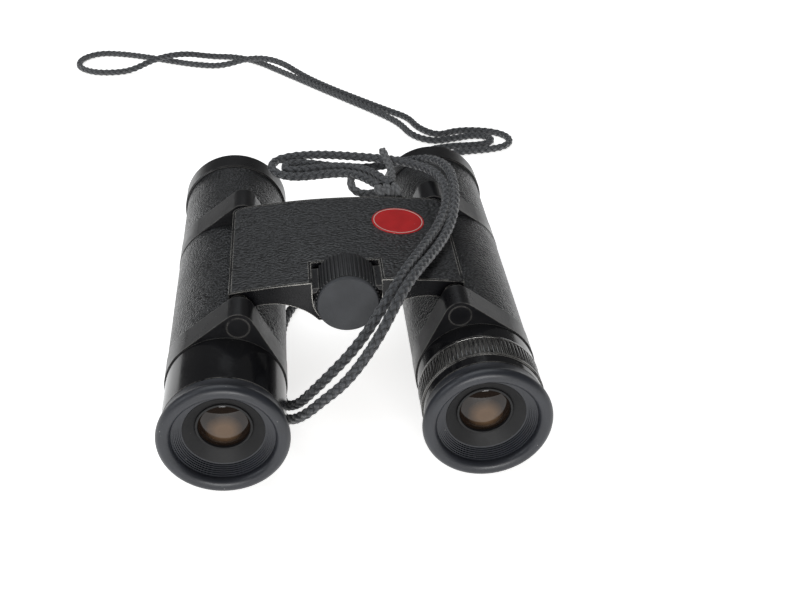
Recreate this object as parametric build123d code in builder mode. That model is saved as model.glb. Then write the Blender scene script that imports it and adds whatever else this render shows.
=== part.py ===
from build123d import *
import math
import os

# Folding pocket binoculars: two barrels hinged to a bridge that holds the focusing gear.
# X runs across the barrels, +Y from the eyepieces to the objectives, Z up.
# The origin is on the ground, in the middle of the object's length and width.

# ---------------------------------------------------------------- driving sizes, in mm
OVERALL_LENGTH = 112.6          # eyecup rim to objective rim
BARREL_SPACING = 58.0           # between the two optical axes, as the barrels stand
RIM_RADIUS = 14.6               # objective ring and eyecup, which the barrels rest on
SKIN_RADIUS = 14.0              # outside of the leather on a barrel
LEATHER = 0.6                   # its thickness
TUBE_WALL = 0.9

HINGE_SPACING = 50.0            # between the two hinge axes
HINGE_HEIGHT = 30.8
FOLD_LIMIT = 25.0               # a barrel's swing inwards, in degrees from straight down
NEST_GAP = 0.5                  # between a folded barrel and the bridge's arch
PIN_RADIUS = 1.5
PUSH_ROD_RADIUS = 0.8
RUNNING = 0.04                  # radial clearance of what turns
SLIDING = 0.04                  # radial clearance of what slides
KNUCKLE_RADIUS = 2.3            # the bridge's metal round a hinge pin
LUG_APEX_RADIUS = 3.6           # a lug's metal round a hinge pin
LUG_RADIUS = 14.12              # a lug's metal round the barrel
REAR_LUG = 7.3                  # the lugs' thickness along the barrel
FRONT_LUG = 8.8
REAR_BOSS = 2.2                 # the bridge's bosses that meet the rear lugs
WASHER = 0.35
WASHER_PLAY = 0.05

EYECUP_LENGTH = 5.4             # the part that stands behind the ocular tube
OCULAR_LENGTH = 14.6
OCULAR_RADIUS = 13.8
OBJECTIVE_RING_LENGTH = 7.7

BRIDGE_LENGTH = 40.8
BRIDGE_WIDTH = HINGE_SPACING + 2 * KNUCKLE_RADIUS
BRIDGE_SIDE_TOP = 33.5
BRIDGE_CROWN = 2.0              # the rise of the top from its sides to its middle
BRIDGE_POD_BOTTOM = 25.0
BRIDGE_CORNER = 2.2
BRIDGE_EDGE = 0.7               # the metal left round the leather panel
PANEL = 0.5                     # the panel's thickness
NOTCH_DEPTH = 9.0               # of the wheel's notch in the rear edge
NOTCH_GAP = 0.5                 # round the wheel, to the sides of its notch

WHEEL_RADIUS = 7.6
WHEEL_RIBS = 46
WHEEL_RIB_DEPTH = 0.45
WHEEL_GROOVE = 0.5              # a groove's width between two ribs
WHEEL_OVERHANG = 3.0            # how far the wheel stands behind the bridge
WHEEL_CAP_RADIUS = 7.2
WHEEL_CAP = 1.0
WHEEL_CAP_EDGE = 0.25           # the bevel round the cap
WHEEL_PLAY = 0.5
NOTCH_WIDTH = 2 * (WHEEL_RADIUS + NOTCH_GAP)
SPINDLE_RADIUS = 1.6

CAVITY_WIDTH = 10.4             # the focusing gear's room in the bridge
CAVITY_REAR_WALL = 6.0
CAVITY_FRONT_WALL = 6.4
CAVITY_TOP = 33.9
COVER_LIP = 3.6                 # the bottom cover's seat beyond the cavity's ends
COVER_FLOOR = 1.0
FOCUS_TRAVEL = 1.8              # each way
YOKE_HEIGHT = 1.3
SLOT_FLOOR = 30.7               # the cross slot's floor, which is the cover's top
SLOT_HEIGHT = 1.6
YOKE_ARM = 2.4                  # a yoke arm's width along Y
FORK = 1.6                      # its thickness at the push rod
GUIDE_RADIUS = 0.7
GUIDE_SPACING = 6.8
GUIDE_HEIGHT = 32.9
GUIDE_EMBED = 0.8

BADGE_RADIUS = 6.6
BADGE_X = 14.4
BADGE_BEHIND_FRONT = 13.0       # the badge's centre, from the bridge's front edge
BADGE_SINK = 0.35
BADGE_PROUD = 0.12

OBJECTIVE_APERTURE = 11.9       # radii of the glass that shows
EYECUP_OPENING = 11.5
CELL_RADIUS = 9.0               # the eyepiece cell that the eyecup slides on
CELL_WALL = 1.0
EYECUP_SLEEVE = 1.5
EYECUP_TRAVEL = 5.0

DIOPTER_FRONT = 4.8             # the ring's front, from the ocular tube's front
DIOPTER_RING_RADIUS = 14.2
DIOPTER_GRIP = 7.5
DIOPTER_RIBS = 60
DIOPTER_RIB_DEPTH = 0.4
DIOPTER_SEAT_RADIUS = 12.4
DIOPTER_TRAVEL = 1.0            # of the lens cell, each way

CORD_DIAMETER = 2.4
EYELET_WIRE = 0.6
EYELET_WIDTH = 5.0
EYELET_REACH = 3.6
EYELET_X = 13.5
EYELET_Z = 32.5

# ---------------------------------------------------------------- places that follow
barrel_x = BARREL_SPACING / 2
hinge_x = HINGE_SPACING / 2
axis_z = RIM_RADIUS
swing_x = barrel_x - hinge_x
swing_z = axis_z - HINGE_HEIGHT
swing_radius = math.hypot(swing_x, swing_z)
lean = math.degrees(math.atan2(swing_x, -swing_z))
tube_radius = SKIN_RADIUS - LEATHER
bore_radius = tube_radius - TUBE_WALL

rear_end = -OVERALL_LENGTH / 2
front_end = OVERALL_LENGTH / 2
eyecup_front = rear_end + EYECUP_LENGTH
ocular_front = eyecup_front + OCULAR_LENGTH
rear_lug_front = ocular_front + REAR_LUG
washer_gap = WASHER + WASHER_PLAY
boss_rear = rear_lug_front + washer_gap
bridge_rear = boss_rear + REAR_BOSS
bridge_front = bridge_rear + BRIDGE_LENGTH
front_lug_rear = bridge_front + washer_gap
front_lug_front = front_lug_rear + FRONT_LUG
ring_rear = front_end - OBJECTIVE_RING_LENGTH
tube_front = ring_rear + 0.45 * OBJECTIVE_RING_LENGTH

crown_radius = ((BRIDGE_WIDTH / 2) ** 2 + BRIDGE_CROWN ** 2) / (2 * BRIDGE_CROWN)
crown_top = BRIDGE_SIDE_TOP + BRIDGE_CROWN
nest_x = hinge_x - swing_radius * math.sin(math.radians(FOLD_LIMIT))
nest_z = HINGE_HEIGHT - swing_radius * math.cos(math.radians(FOLD_LIMIT))
notch_front = bridge_rear + NOTCH_DEPTH
cavity_rear = notch_front + CAVITY_REAR_WALL
cavity_front = bridge_front - CAVITY_FRONT_WALL
cover_rear = cavity_rear - COVER_LIP
cover_front = cavity_front + COVER_LIP - 0.2
yoke_y = cavity_front - FOCUS_TRAVEL - 3.2
slot_half = FOCUS_TRAVEL + 2.0


# ---------------------------------------------------------------- helpers
def across(y):
    """The plane across the barrels at y. Its own axes are X and Z, and it faces the eyepieces."""
    return Plane.XZ.offset(-y)


def turned(x, z, *outlines):
    """A turned piece about the line along Y through (x, z), from outlines of (radius, y) points."""
    with BuildPart() as piece:
        for outline in outlines:
            with BuildSketch(Plane((x, 0, z))):
                with BuildLine():
                    Polyline(*outline, close=True)
                make_face()
            revolve(axis=Axis((x, 0, z), (0, 1, 0)))
    return piece


def ring_outline(inner, outer, rear, front):
    return [(inner, rear), (outer, rear), (outer, front), (inner, front)]


def bulge_at_half(aperture, bulge):
    """How far a round face that bulges by a given amount stands out at half its aperture."""
    radius = (aperture ** 2 + bulge ** 2) / (2 * bulge)
    return bulge - radius + math.copysign(math.sqrt(radius ** 2 - aperture ** 2 / 4), radius)


def lens(x, z, edge, aperture, rear, front, rear_bulge, front_bulge):
    """A round lens whose faces bulge or hollow inside the aperture and are flat outside it."""
    rear_half = rear - bulge_at_half(aperture, rear_bulge)
    front_half = front + bulge_at_half(aperture, front_bulge)
    with BuildPart() as piece:
        with BuildSketch(Plane((x, 0, z))):
            with BuildLine():
                ThreePointArc((0, rear - rear_bulge), (aperture / 2, rear_half), (aperture, rear))
                Polyline((aperture, rear), (edge, rear), (edge, front), (aperture, front))
                ThreePointArc((aperture, front), (aperture / 2, front_half), (0, front + front_bulge))
                Line((0, front + front_bulge), (0, rear - rear_bulge))
            make_face()
        revolve(axis=Axis((x, 0, z), (0, 1, 0)))
    return piece


def rods(radius, rear, front, *centres):
    """Round rods along Y, one at each (x, z) centre."""
    with BuildPart() as piece:
        with BuildSketch(across(front)):
            with Locations(*centres):
                Circle(radius)
        extrude(amount=front - rear)
    return piece


def write(piece, name):
    piece.part.label = name
    export_step(piece.part, f"parts/{name}.step")


def crown_z(x):
    """The height of the bridge's top at x."""
    return crown_top - crown_radius + math.sqrt(crown_radius ** 2 - x ** 2)


os.makedirs("parts", exist_ok=True)


# ---------------------------------------------------------------- the bridge's shapes
def bridge_section():
    """The bridge's cross section: crowned top, knuckles, arches and pod."""
    half = BRIDGE_WIDTH / 2
    with BuildSketch() as section:
        with BuildLine():
            ThreePointArc((-half, BRIDGE_SIDE_TOP), (0, crown_top), (half, BRIDGE_SIDE_TOP))
            Polyline(
                (half, BRIDGE_SIDE_TOP), (half, HINGE_HEIGHT), (hinge_x, HINGE_HEIGHT),
                (hinge_x, BRIDGE_POD_BOTTOM), (-hinge_x, BRIDGE_POD_BOTTOM),
                (-hinge_x, HINGE_HEIGHT), (-half, HINGE_HEIGHT), (-half, BRIDGE_SIDE_TOP),
            )
        make_face()
        with Locations((-hinge_x, HINGE_HEIGHT), (hinge_x, HINGE_HEIGHT)):
            Circle(KNUCKLE_RADIUS)
        with Locations((-nest_x, nest_z), (nest_x, nest_z)):
            Circle(SKIN_RADIUS + NEST_GAP, mode=Mode.SUBTRACT)
    return section.sketch


def bridge_plan(inset, notched=True):
    """The bridge's outline from above, with or without the wheel's notch."""
    half = BRIDGE_WIDTH / 2 - inset
    notch = NOTCH_WIDTH / 2 + inset
    rear = bridge_rear + inset
    front = bridge_front - inset
    with BuildSketch() as plan:
        with BuildLine():
            Polyline((-half, rear), (half, rear), (half, front), (-half, front), close=True)
        make_face()
        if notched:
            with Locations((0, (rear + notch_front + inset) / 2)):
                Rectangle(2 * notch, notch_front + inset - rear, mode=Mode.SUBTRACT)
        fillet(plan.vertices().group_by(Axis.Y)[-1], BRIDGE_CORNER - inset / 2)
    return plan.sketch


# The leather panel on the bridge's top fills a shallow pocket, and the badge sits in the panel.
badge_y = bridge_front - BADGE_BEHIND_FRONT
badge_tilt = math.asin(BADGE_X / crown_radius)
badge_plane = Plane(
    (BADGE_X, badge_y, crown_z(BADGE_X)),
    x_dir=(math.cos(badge_tilt), 0, -math.sin(badge_tilt)),
    z_dir=(math.sin(badge_tilt), 0, math.cos(badge_tilt)),
)
with BuildPart() as badge:
    with BuildSketch(badge_plane):
        Circle(BADGE_RADIUS)
    extrude(amount=BADGE_PROUD)
    extrude(badge.faces().sort_by(Axis.Z)[0], amount=BADGE_SINK)
    fillet(badge.edges().filter_by(GeomType.CIRCLE).sort_by(Axis.Z)[-1], BADGE_PROUD * 0.8)

half_width = BRIDGE_WIDTH / 2
with BuildPart() as bridge_leather:
    with BuildSketch(across(bridge_front)):
        with BuildLine():
            ThreePointArc((-half_width, BRIDGE_SIDE_TOP), (0, crown_top), (half_width, BRIDGE_SIDE_TOP))
            Line((half_width, BRIDGE_SIDE_TOP), (half_width, BRIDGE_SIDE_TOP - PANEL))
            ThreePointArc(
                (half_width, BRIDGE_SIDE_TOP - PANEL),
                (0, crown_top - PANEL),
                (-half_width, BRIDGE_SIDE_TOP - PANEL),
            )
            Line((-half_width, BRIDGE_SIDE_TOP - PANEL), (-half_width, BRIDGE_SIDE_TOP))
        make_face()
    extrude(amount=BRIDGE_LENGTH)
    with BuildSketch(Plane.XY.offset(BRIDGE_POD_BOTTOM)):
        add(bridge_plan(BRIDGE_EDGE))
    extrude(amount=2 * (crown_top - BRIDGE_POD_BOTTOM), mode=Mode.INTERSECT)
panel_blank = bridge_leather.part
with BuildPart() as bridge_leather:
    add(panel_blank)
    add(badge.part, mode=Mode.SUBTRACT)

# The bridge body carries the hinge bores, the spindle's bearings and the focusing gear's room.
hinge_axes = [(-hinge_x, HINGE_HEIGHT), (hinge_x, HINGE_HEIGHT)]
guide_axes = [(-GUIDE_SPACING / 2, GUIDE_HEIGHT), (GUIDE_SPACING / 2, GUIDE_HEIGHT)]
screw_places = [
    (x, y)
    for x in (-3.0, 3.0)
    for y in ((cover_rear + cavity_rear) / 2, (cover_front + cavity_front) / 2)
]
SCREW_RADIUS = 0.8
SCREW_HEAD_RADIUS = 1.4
SCREW_HEAD = 0.9
screw_top = SLOT_FLOOR + 2.2
fork_pocket = 1.9
hinge_bore = PIN_RADIUS + RUNNING
rear_pin_front = bridge_rear + 6.0
bush_rear = yoke_y + slot_half + 1.0


# The focusing gear's room: the middle cavity, the cross slot, the forks' pockets and the hinge bores.
with BuildPart() as gear_room:
    with BuildSketch(Plane.XY.offset(BRIDGE_POD_BOTTOM + COVER_FLOOR)):
        with Locations((0, (cavity_rear + cavity_front) / 2)):
            Rectangle(CAVITY_WIDTH, cavity_front - cavity_rear)
    extrude(amount=CAVITY_TOP - BRIDGE_POD_BOTTOM - COVER_FLOOR)
    with BuildSketch(Plane.XY.offset(SLOT_FLOOR)):
        with Locations((0, yoke_y)):
            Rectangle(HINGE_SPACING, 2 * slot_half)
    extrude(amount=SLOT_HEIGHT)
    with BuildSketch(across(yoke_y + slot_half)):
        with Locations(*hinge_axes):
            Circle(fork_pocket)
    extrude(amount=2 * slot_half)
    with BuildSketch(across(bridge_front)):
        with Locations(*hinge_axes):
            Circle(hinge_bore)
    extrude(amount=bridge_front - yoke_y)

with BuildPart() as bridge_body:
    with BuildSketch(across(bridge_front)):
        add(bridge_section())
    extrude(amount=BRIDGE_LENGTH)
    with BuildSketch(Plane.XY.offset(BRIDGE_POD_BOTTOM - 1)):
        add(bridge_plan(0, notched=False))
    extrude(amount=2 * (crown_top - BRIDGE_POD_BOTTOM), mode=Mode.INTERSECT)
    with BuildSketch(across(notch_front)):
        with Locations((0, HINGE_HEIGHT)):
            Circle(NOTCH_WIDTH / 2)
        with Locations((0, HINGE_HEIGHT + BRIDGE_WIDTH / 4)):
            Rectangle(NOTCH_WIDTH, BRIDGE_WIDTH / 2)
    extrude(amount=NOTCH_DEPTH, mode=Mode.SUBTRACT)
    with BuildSketch(across(bridge_rear + 1.0)):
        with Locations(*hinge_axes):
            Circle(KNUCKLE_RADIUS)
    extrude(amount=REAR_BOSS + 1.0)
    with BuildSketch(across(bridge_front)):
        with Locations(*hinge_axes):
            Circle(KNUCKLE_RADIUS)
    extrude(amount=BRIDGE_CORNER)
    add(panel_blank, mode=Mode.SUBTRACT)
    with BuildSketch(Plane.XY.offset(BRIDGE_POD_BOTTOM - 1)):
        with Locations((0, (cover_rear + cover_front) / 2)):
            Rectangle(BRIDGE_WIDTH + 2, cover_front - cover_rear)
    extrude(amount=SLOT_FLOOR - BRIDGE_POD_BOTTOM + 1, mode=Mode.SUBTRACT)
    add(gear_room.part, mode=Mode.SUBTRACT)
    with BuildSketch(across(rear_pin_front)):
        with Locations(*hinge_axes):
            Circle(hinge_bore)
    extrude(amount=rear_pin_front - boss_rear, mode=Mode.SUBTRACT)
    with BuildSketch(across(bridge_front - 1.4)):
        with Locations((0, HINGE_HEIGHT)):
            Circle(SPINDLE_RADIUS + RUNNING)
    extrude(amount=BRIDGE_LENGTH - 1.4, mode=Mode.SUBTRACT)
    with BuildSketch(across(cavity_front + GUIDE_EMBED)):
        with Locations(*guide_axes):
            Circle(GUIDE_RADIUS)
    extrude(amount=cavity_front - cavity_rear + 2 * GUIDE_EMBED, mode=Mode.SUBTRACT)
    with BuildSketch(Plane.XY.offset(SLOT_FLOOR)):
        with Locations(*screw_places):
            Circle(SCREW_RADIUS)
    extrude(amount=screw_top - SLOT_FLOOR, mode=Mode.SUBTRACT)

with BuildPart() as bridge_cover:
    with BuildSketch(across(cover_front)):
        add(bridge_section())
    extrude(amount=cover_front - cover_rear)
    with BuildSketch(Plane.XY.offset(SLOT_FLOOR)):
        Rectangle(2 * BRIDGE_WIDTH, 4 * BRIDGE_LENGTH)
    extrude(amount=crown_top, mode=Mode.SUBTRACT)
    add(gear_room.part, mode=Mode.SUBTRACT)
    with BuildSketch(across(cover_front)):
        with Locations((0, HINGE_HEIGHT)):
            Circle(SPINDLE_RADIUS + RUNNING)
    extrude(amount=cover_front - cover_rear, mode=Mode.SUBTRACT)
    with BuildSketch(Plane.XY.offset(BRIDGE_POD_BOTTOM)):
        with Locations(*screw_places):
            Circle(SCREW_RADIUS)
    extrude(amount=SLOT_FLOOR - BRIDGE_POD_BOTTOM, mode=Mode.SUBTRACT)
    with BuildSketch(Plane.XY.offset(BRIDGE_POD_BOTTOM)):
        with Locations(*screw_places):
            Circle(SCREW_HEAD_RADIUS)
    extrude(amount=SCREW_HEAD, mode=Mode.SUBTRACT)

with BuildPart() as cover_screws:
    with BuildSketch(Plane.XY.offset(BRIDGE_POD_BOTTOM)):
        with Locations(*screw_places):
            Circle(SCREW_HEAD_RADIUS)
    extrude(amount=SCREW_HEAD)
    with BuildSketch(Plane.XY.offset(BRIDGE_POD_BOTTOM)):
        with Locations(*screw_places):
            Circle(SCREW_RADIUS)
    extrude(amount=screw_top - BRIDGE_POD_BOTTOM)
    with BuildSketch(Plane.XY.offset(BRIDGE_POD_BOTTOM)):
        with Locations(*screw_places):
            Rectangle(2 * SCREW_HEAD_RADIUS, 0.5)
    extrude(amount=SCREW_HEAD / 2, mode=Mode.SUBTRACT)

# The strap eyelet is a wire staple in the bridge's front wall, off to the right.
with BuildPart() as strap_eyelet:
    with BuildLine() as staple:
        FilletPolyline(
            (EYELET_X - EYELET_WIDTH / 2, bridge_front - 2, EYELET_Z),
            (EYELET_X - EYELET_WIDTH / 2, bridge_front + EYELET_REACH, EYELET_Z),
            (EYELET_X + EYELET_WIDTH / 2, bridge_front + EYELET_REACH, EYELET_Z),
            (EYELET_X + EYELET_WIDTH / 2, bridge_front - 2, EYELET_Z),
            radius=1.6,
        )
    with BuildSketch(Plane((EYELET_X - EYELET_WIDTH / 2, bridge_front - 2, EYELET_Z), z_dir=(0, 1, 0))):
        Circle(EYELET_WIRE)
    sweep()
eyelet_wire = strap_eyelet.part
with BuildPart() as bridge_drilled:
    add(bridge_body.part)
    add(eyelet_wire, mode=Mode.SUBTRACT)
bridge_body = bridge_drilled

# ---------------------------------------------------------------- the focusing gear
wheel_rear = bridge_rear - WHEEL_OVERHANG
wheel_front = notch_front - WHEEL_PLAY
with BuildPart() as focus_wheel:
    with BuildSketch(across(wheel_front)):
        with Locations((0, HINGE_HEIGHT)):
            Circle(WHEEL_RADIUS)
            Circle(SPINDLE_RADIUS, mode=Mode.SUBTRACT)
        with Locations((0, HINGE_HEIGHT)):
            with PolarLocations(WHEEL_RADIUS, WHEEL_RIBS):
                Rectangle(2 * WHEEL_RIB_DEPTH, WHEEL_GROOVE, mode=Mode.SUBTRACT)
    extrude(amount=wheel_front - wheel_rear - WHEEL_CAP)

focus_wheel_cap = turned(
    0, HINGE_HEIGHT,
    [
        (0, wheel_rear), (WHEEL_CAP_RADIUS - WHEEL_CAP_EDGE, wheel_rear),
        (WHEEL_CAP_RADIUS, wheel_rear + WHEEL_CAP_EDGE),
        (WHEEL_CAP_RADIUS, wheel_rear + WHEEL_CAP), (0, wheel_rear + WHEEL_CAP),
    ],
)

spindle_front = bridge_front - 1.6
focus_spindle = turned(
    0, HINGE_HEIGHT,
    [
        (0, wheel_rear + WHEEL_CAP), (SPINDLE_RADIUS, wheel_rear + WHEEL_CAP),
        (SPINDLE_RADIUS, cavity_rear + 0.1), (SPINDLE_RADIUS + 1.2, cavity_rear + 0.1),
        (SPINDLE_RADIUS + 1.2, cavity_rear + 0.9), (SPINDLE_RADIUS, cavity_rear + 0.9),
        (SPINDLE_RADIUS, spindle_front), (0, spindle_front),
    ],
)

NUT_WIDTH = 9.2
NUT_LENGTH = 4.4
NUT_BOTTOM = 28.2
NUT_TOP = 33.5
yoke_bottom = SLOT_FLOOR + 0.15
neck_radius = PUSH_ROD_RADIUS - 0.2
with BuildPart() as focus_yoke:
    with BuildSketch(Plane.XY.offset(NUT_BOTTOM)):
        with Locations((0, yoke_y)):
            Rectangle(NUT_WIDTH, NUT_LENGTH)
    extrude(amount=NUT_TOP - NUT_BOTTOM)
    with BuildSketch(Plane.XY.offset(yoke_bottom)):
        with Locations((0, yoke_y)):
            Rectangle(HINGE_SPACING, YOKE_ARM)
    extrude(amount=YOKE_HEIGHT)
    with BuildSketch(across(yoke_y + YOKE_ARM / 2)):
        with Locations(*hinge_axes):
            Circle(fork_pocket - 0.25)
    extrude(amount=YOKE_ARM)
    with BuildSketch(across(yoke_y + YOKE_ARM)):
        with Locations(*hinge_axes):
            Rectangle(4 * fork_pocket, 4 * fork_pocket)
    extrude(amount=YOKE_ARM - FORK / 2, mode=Mode.SUBTRACT)
    with BuildSketch(across(yoke_y - FORK / 2)):
        with Locations(*hinge_axes):
            Rectangle(4 * fork_pocket, 4 * fork_pocket)
    extrude(amount=YOKE_ARM, mode=Mode.SUBTRACT)
    with BuildSketch(across(yoke_y + YOKE_ARM)):
        with Locations(*hinge_axes):
            Circle(neck_radius + SLIDING)
        with Locations((0, HINGE_HEIGHT)):
            Circle(SPINDLE_RADIUS + RUNNING)
        with Locations(*guide_axes):
            Circle(GUIDE_RADIUS + SLIDING)
    extrude(amount=2 * YOKE_ARM, mode=Mode.SUBTRACT)

guide_rods = rods(GUIDE_RADIUS, cavity_rear - GUIDE_EMBED, cavity_front + GUIDE_EMBED, *guide_axes)

bridge_pieces = {
    "bridge_body": bridge_body, "bridge_cover": bridge_cover, "cover_screws": cover_screws,
    "bridge_leather": bridge_leather, "badge": badge, "strap_eyelet": strap_eyelet,
    "focus_wheel": focus_wheel, "focus_wheel_cap": focus_wheel_cap, "focus_spindle": focus_spindle,
    "focus_yoke": focus_yoke, "guide_rods": guide_rods,
}
for name, piece in bridge_pieces.items():
    write(piece, name)

# ---------------------------------------------------------------- the two barrels
ARM_ROOM_REAR = 1.5             # the front lug's rear wall, which holds the hinge bush
ARM_ROOM_FRONT = 1.2            # its front wall
ARM_WIDTH = 2.4
ARM_THICKNESS = 2.0
ARM_PLAY = 0.25
BUSH_BORE = PUSH_ROD_RADIUS + SLIDING
COLLAR_RADIUS = 1.2
COLLAR = 0.6
NECK = FORK + 0.1
CAP_RADIUS = 2.6
CAP = 1.2
FOCUS_CELL_RADIUS = 11.9
FOCUS_LENS_RADIUS = 10.6
FOCUS_CELL_LENGTH = 5.0
OBJECTIVE_THICKNESS = 3.6
OBJECTIVE_CELL_LENGTH = 3.0
PRISM_FRAME_LENGTH = 38.6
PRISM_FRAME_WALL = 1.9
PRISM_PLATE = 1.2
PRISM_WINDOW = 7.5
PRISM_HALF_WIDTH = 6.0
PRISM_HALF_HEIGHT = 8.0
PRISM_AIR_GAP = 1.0
EYE_SEAT = 6.3                  # the eye lens's rim, from the eyecup's rim
EYE_LENS_SEAT = 1.45            # the cell's step round the eye lens
EYE_LENS_RADIUS = CELL_RADIUS - CELL_WALL - EYE_LENS_SEAT
EYE_LENS_LIP = 0.8              # what holds the lens from behind
EYE_APERTURE = EYE_LENS_RADIUS - EYE_LENS_LIP
EYE_LENS_THICKNESS = 3.0
RIM_BEAD = 1.6                  # the rounding of the eyecup's rim
EYECUP_NECK_RADIUS = 13.7
SPIGOT = 3.2
FIELD_LENS_SEAT = 1.0
FIELD_LENS_RADIUS = CELL_RADIUS - CELL_WALL - FIELD_LENS_SEAT
FIELD_CELL_LENGTH = 4.0

arm_room_rear = front_lug_rear + ARM_ROOM_REAR
arm_room_front = front_lug_front - ARM_ROOM_FRONT
arm_y = (arm_room_rear + arm_room_front) / 2
arm_reach = swing_radius - FOCUS_CELL_RADIUS + 0.6
room_reach = swing_radius - bore_radius + 1.0
lens_rear = tube_front - OBJECTIVE_THICKNESS
prism_front = arm_y - FOCUS_CELL_LENGTH / 2 - FOCUS_TRAVEL - 2.4
prism_rear = prism_front - PRISM_FRAME_LENGTH
prism_inner = bore_radius - PRISM_FRAME_WALL
eye_seat = rear_end + EYE_SEAT
cell_rear = eye_seat - 0.4
cell_bore = CELL_RADIUS - CELL_WALL
sleeve_bore = CELL_RADIUS + SLIDING
sleeve_radius = sleeve_bore + EYECUP_SLEEVE
sleeve_front = eyecup_front + EYECUP_TRAVEL + 2.9
eyecup_room = sleeve_radius + 0.35
cell_flange = ocular_front + 1.0
field_rear = cell_flange - FIELD_CELL_LENGTH - DIOPTER_TRAVEL - 1.0
diopter_front = ocular_front - DIOPTER_FRONT

objective_ring_outline = [
    (tube_radius, ring_rear), (RIM_RADIUS - 0.3, ring_rear), (RIM_RADIUS, ring_rear + 0.3),
    (RIM_RADIUS, front_end - 0.7), (RIM_RADIUS - 0.5, front_end), (OBJECTIVE_APERTURE + 1.5, front_end),
    (OBJECTIVE_APERTURE, tube_front + 1.0), (OBJECTIVE_APERTURE, tube_front), (tube_radius, tube_front),
]
eye_ring_outline = [
    (EYE_APERTURE, eye_seat), (EYE_APERTURE + 0.1, eye_seat - 0.9), (EYE_APERTURE + 0.55, eye_seat - 0.9),
    (EYE_APERTURE + 0.65, eye_seat - 0.5), (CELL_RADIUS, eye_seat - 2.3), (CELL_RADIUS, cell_rear),
    (cell_bore, cell_rear), (cell_bore, eye_seat + 1.2), (EYE_LENS_RADIUS, eye_seat + 1.2),
    (EYE_LENS_RADIUS, eye_seat),
]
ocular_cell_outline = [
    (cell_bore, cell_rear), (CELL_RADIUS, cell_rear), (CELL_RADIUS, cell_flange - 2.0),
    (eyecup_room, cell_flange - 2.0), (eyecup_room, cell_flange), (cell_bore, cell_flange),
]
spigot_outline = ring_outline(eyecup_room, bore_radius, ocular_front - 1.0, ocular_front + SPIGOT)
plain_tube_outline = ring_outline(eyecup_room, OCULAR_RADIUS, eyecup_front, ocular_front)
band_outline = ring_outline(eyecup_room, OCULAR_RADIUS, diopter_front, ocular_front)
seat_outline = ring_outline(eyecup_room, DIOPTER_SEAT_RADIUS, eyecup_front, diopter_front + 0.5)
prism_frame_outline = [
    (PRISM_WINDOW, prism_rear), (bore_radius, prism_rear), (bore_radius, prism_front),
    (PRISM_WINDOW, prism_front), (PRISM_WINDOW, prism_front - PRISM_PLATE),
    (prism_inner, prism_front - PRISM_PLATE), (prism_inner, prism_rear + PRISM_PLATE),
    (PRISM_WINDOW, prism_rear + PRISM_PLATE),
]

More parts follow.
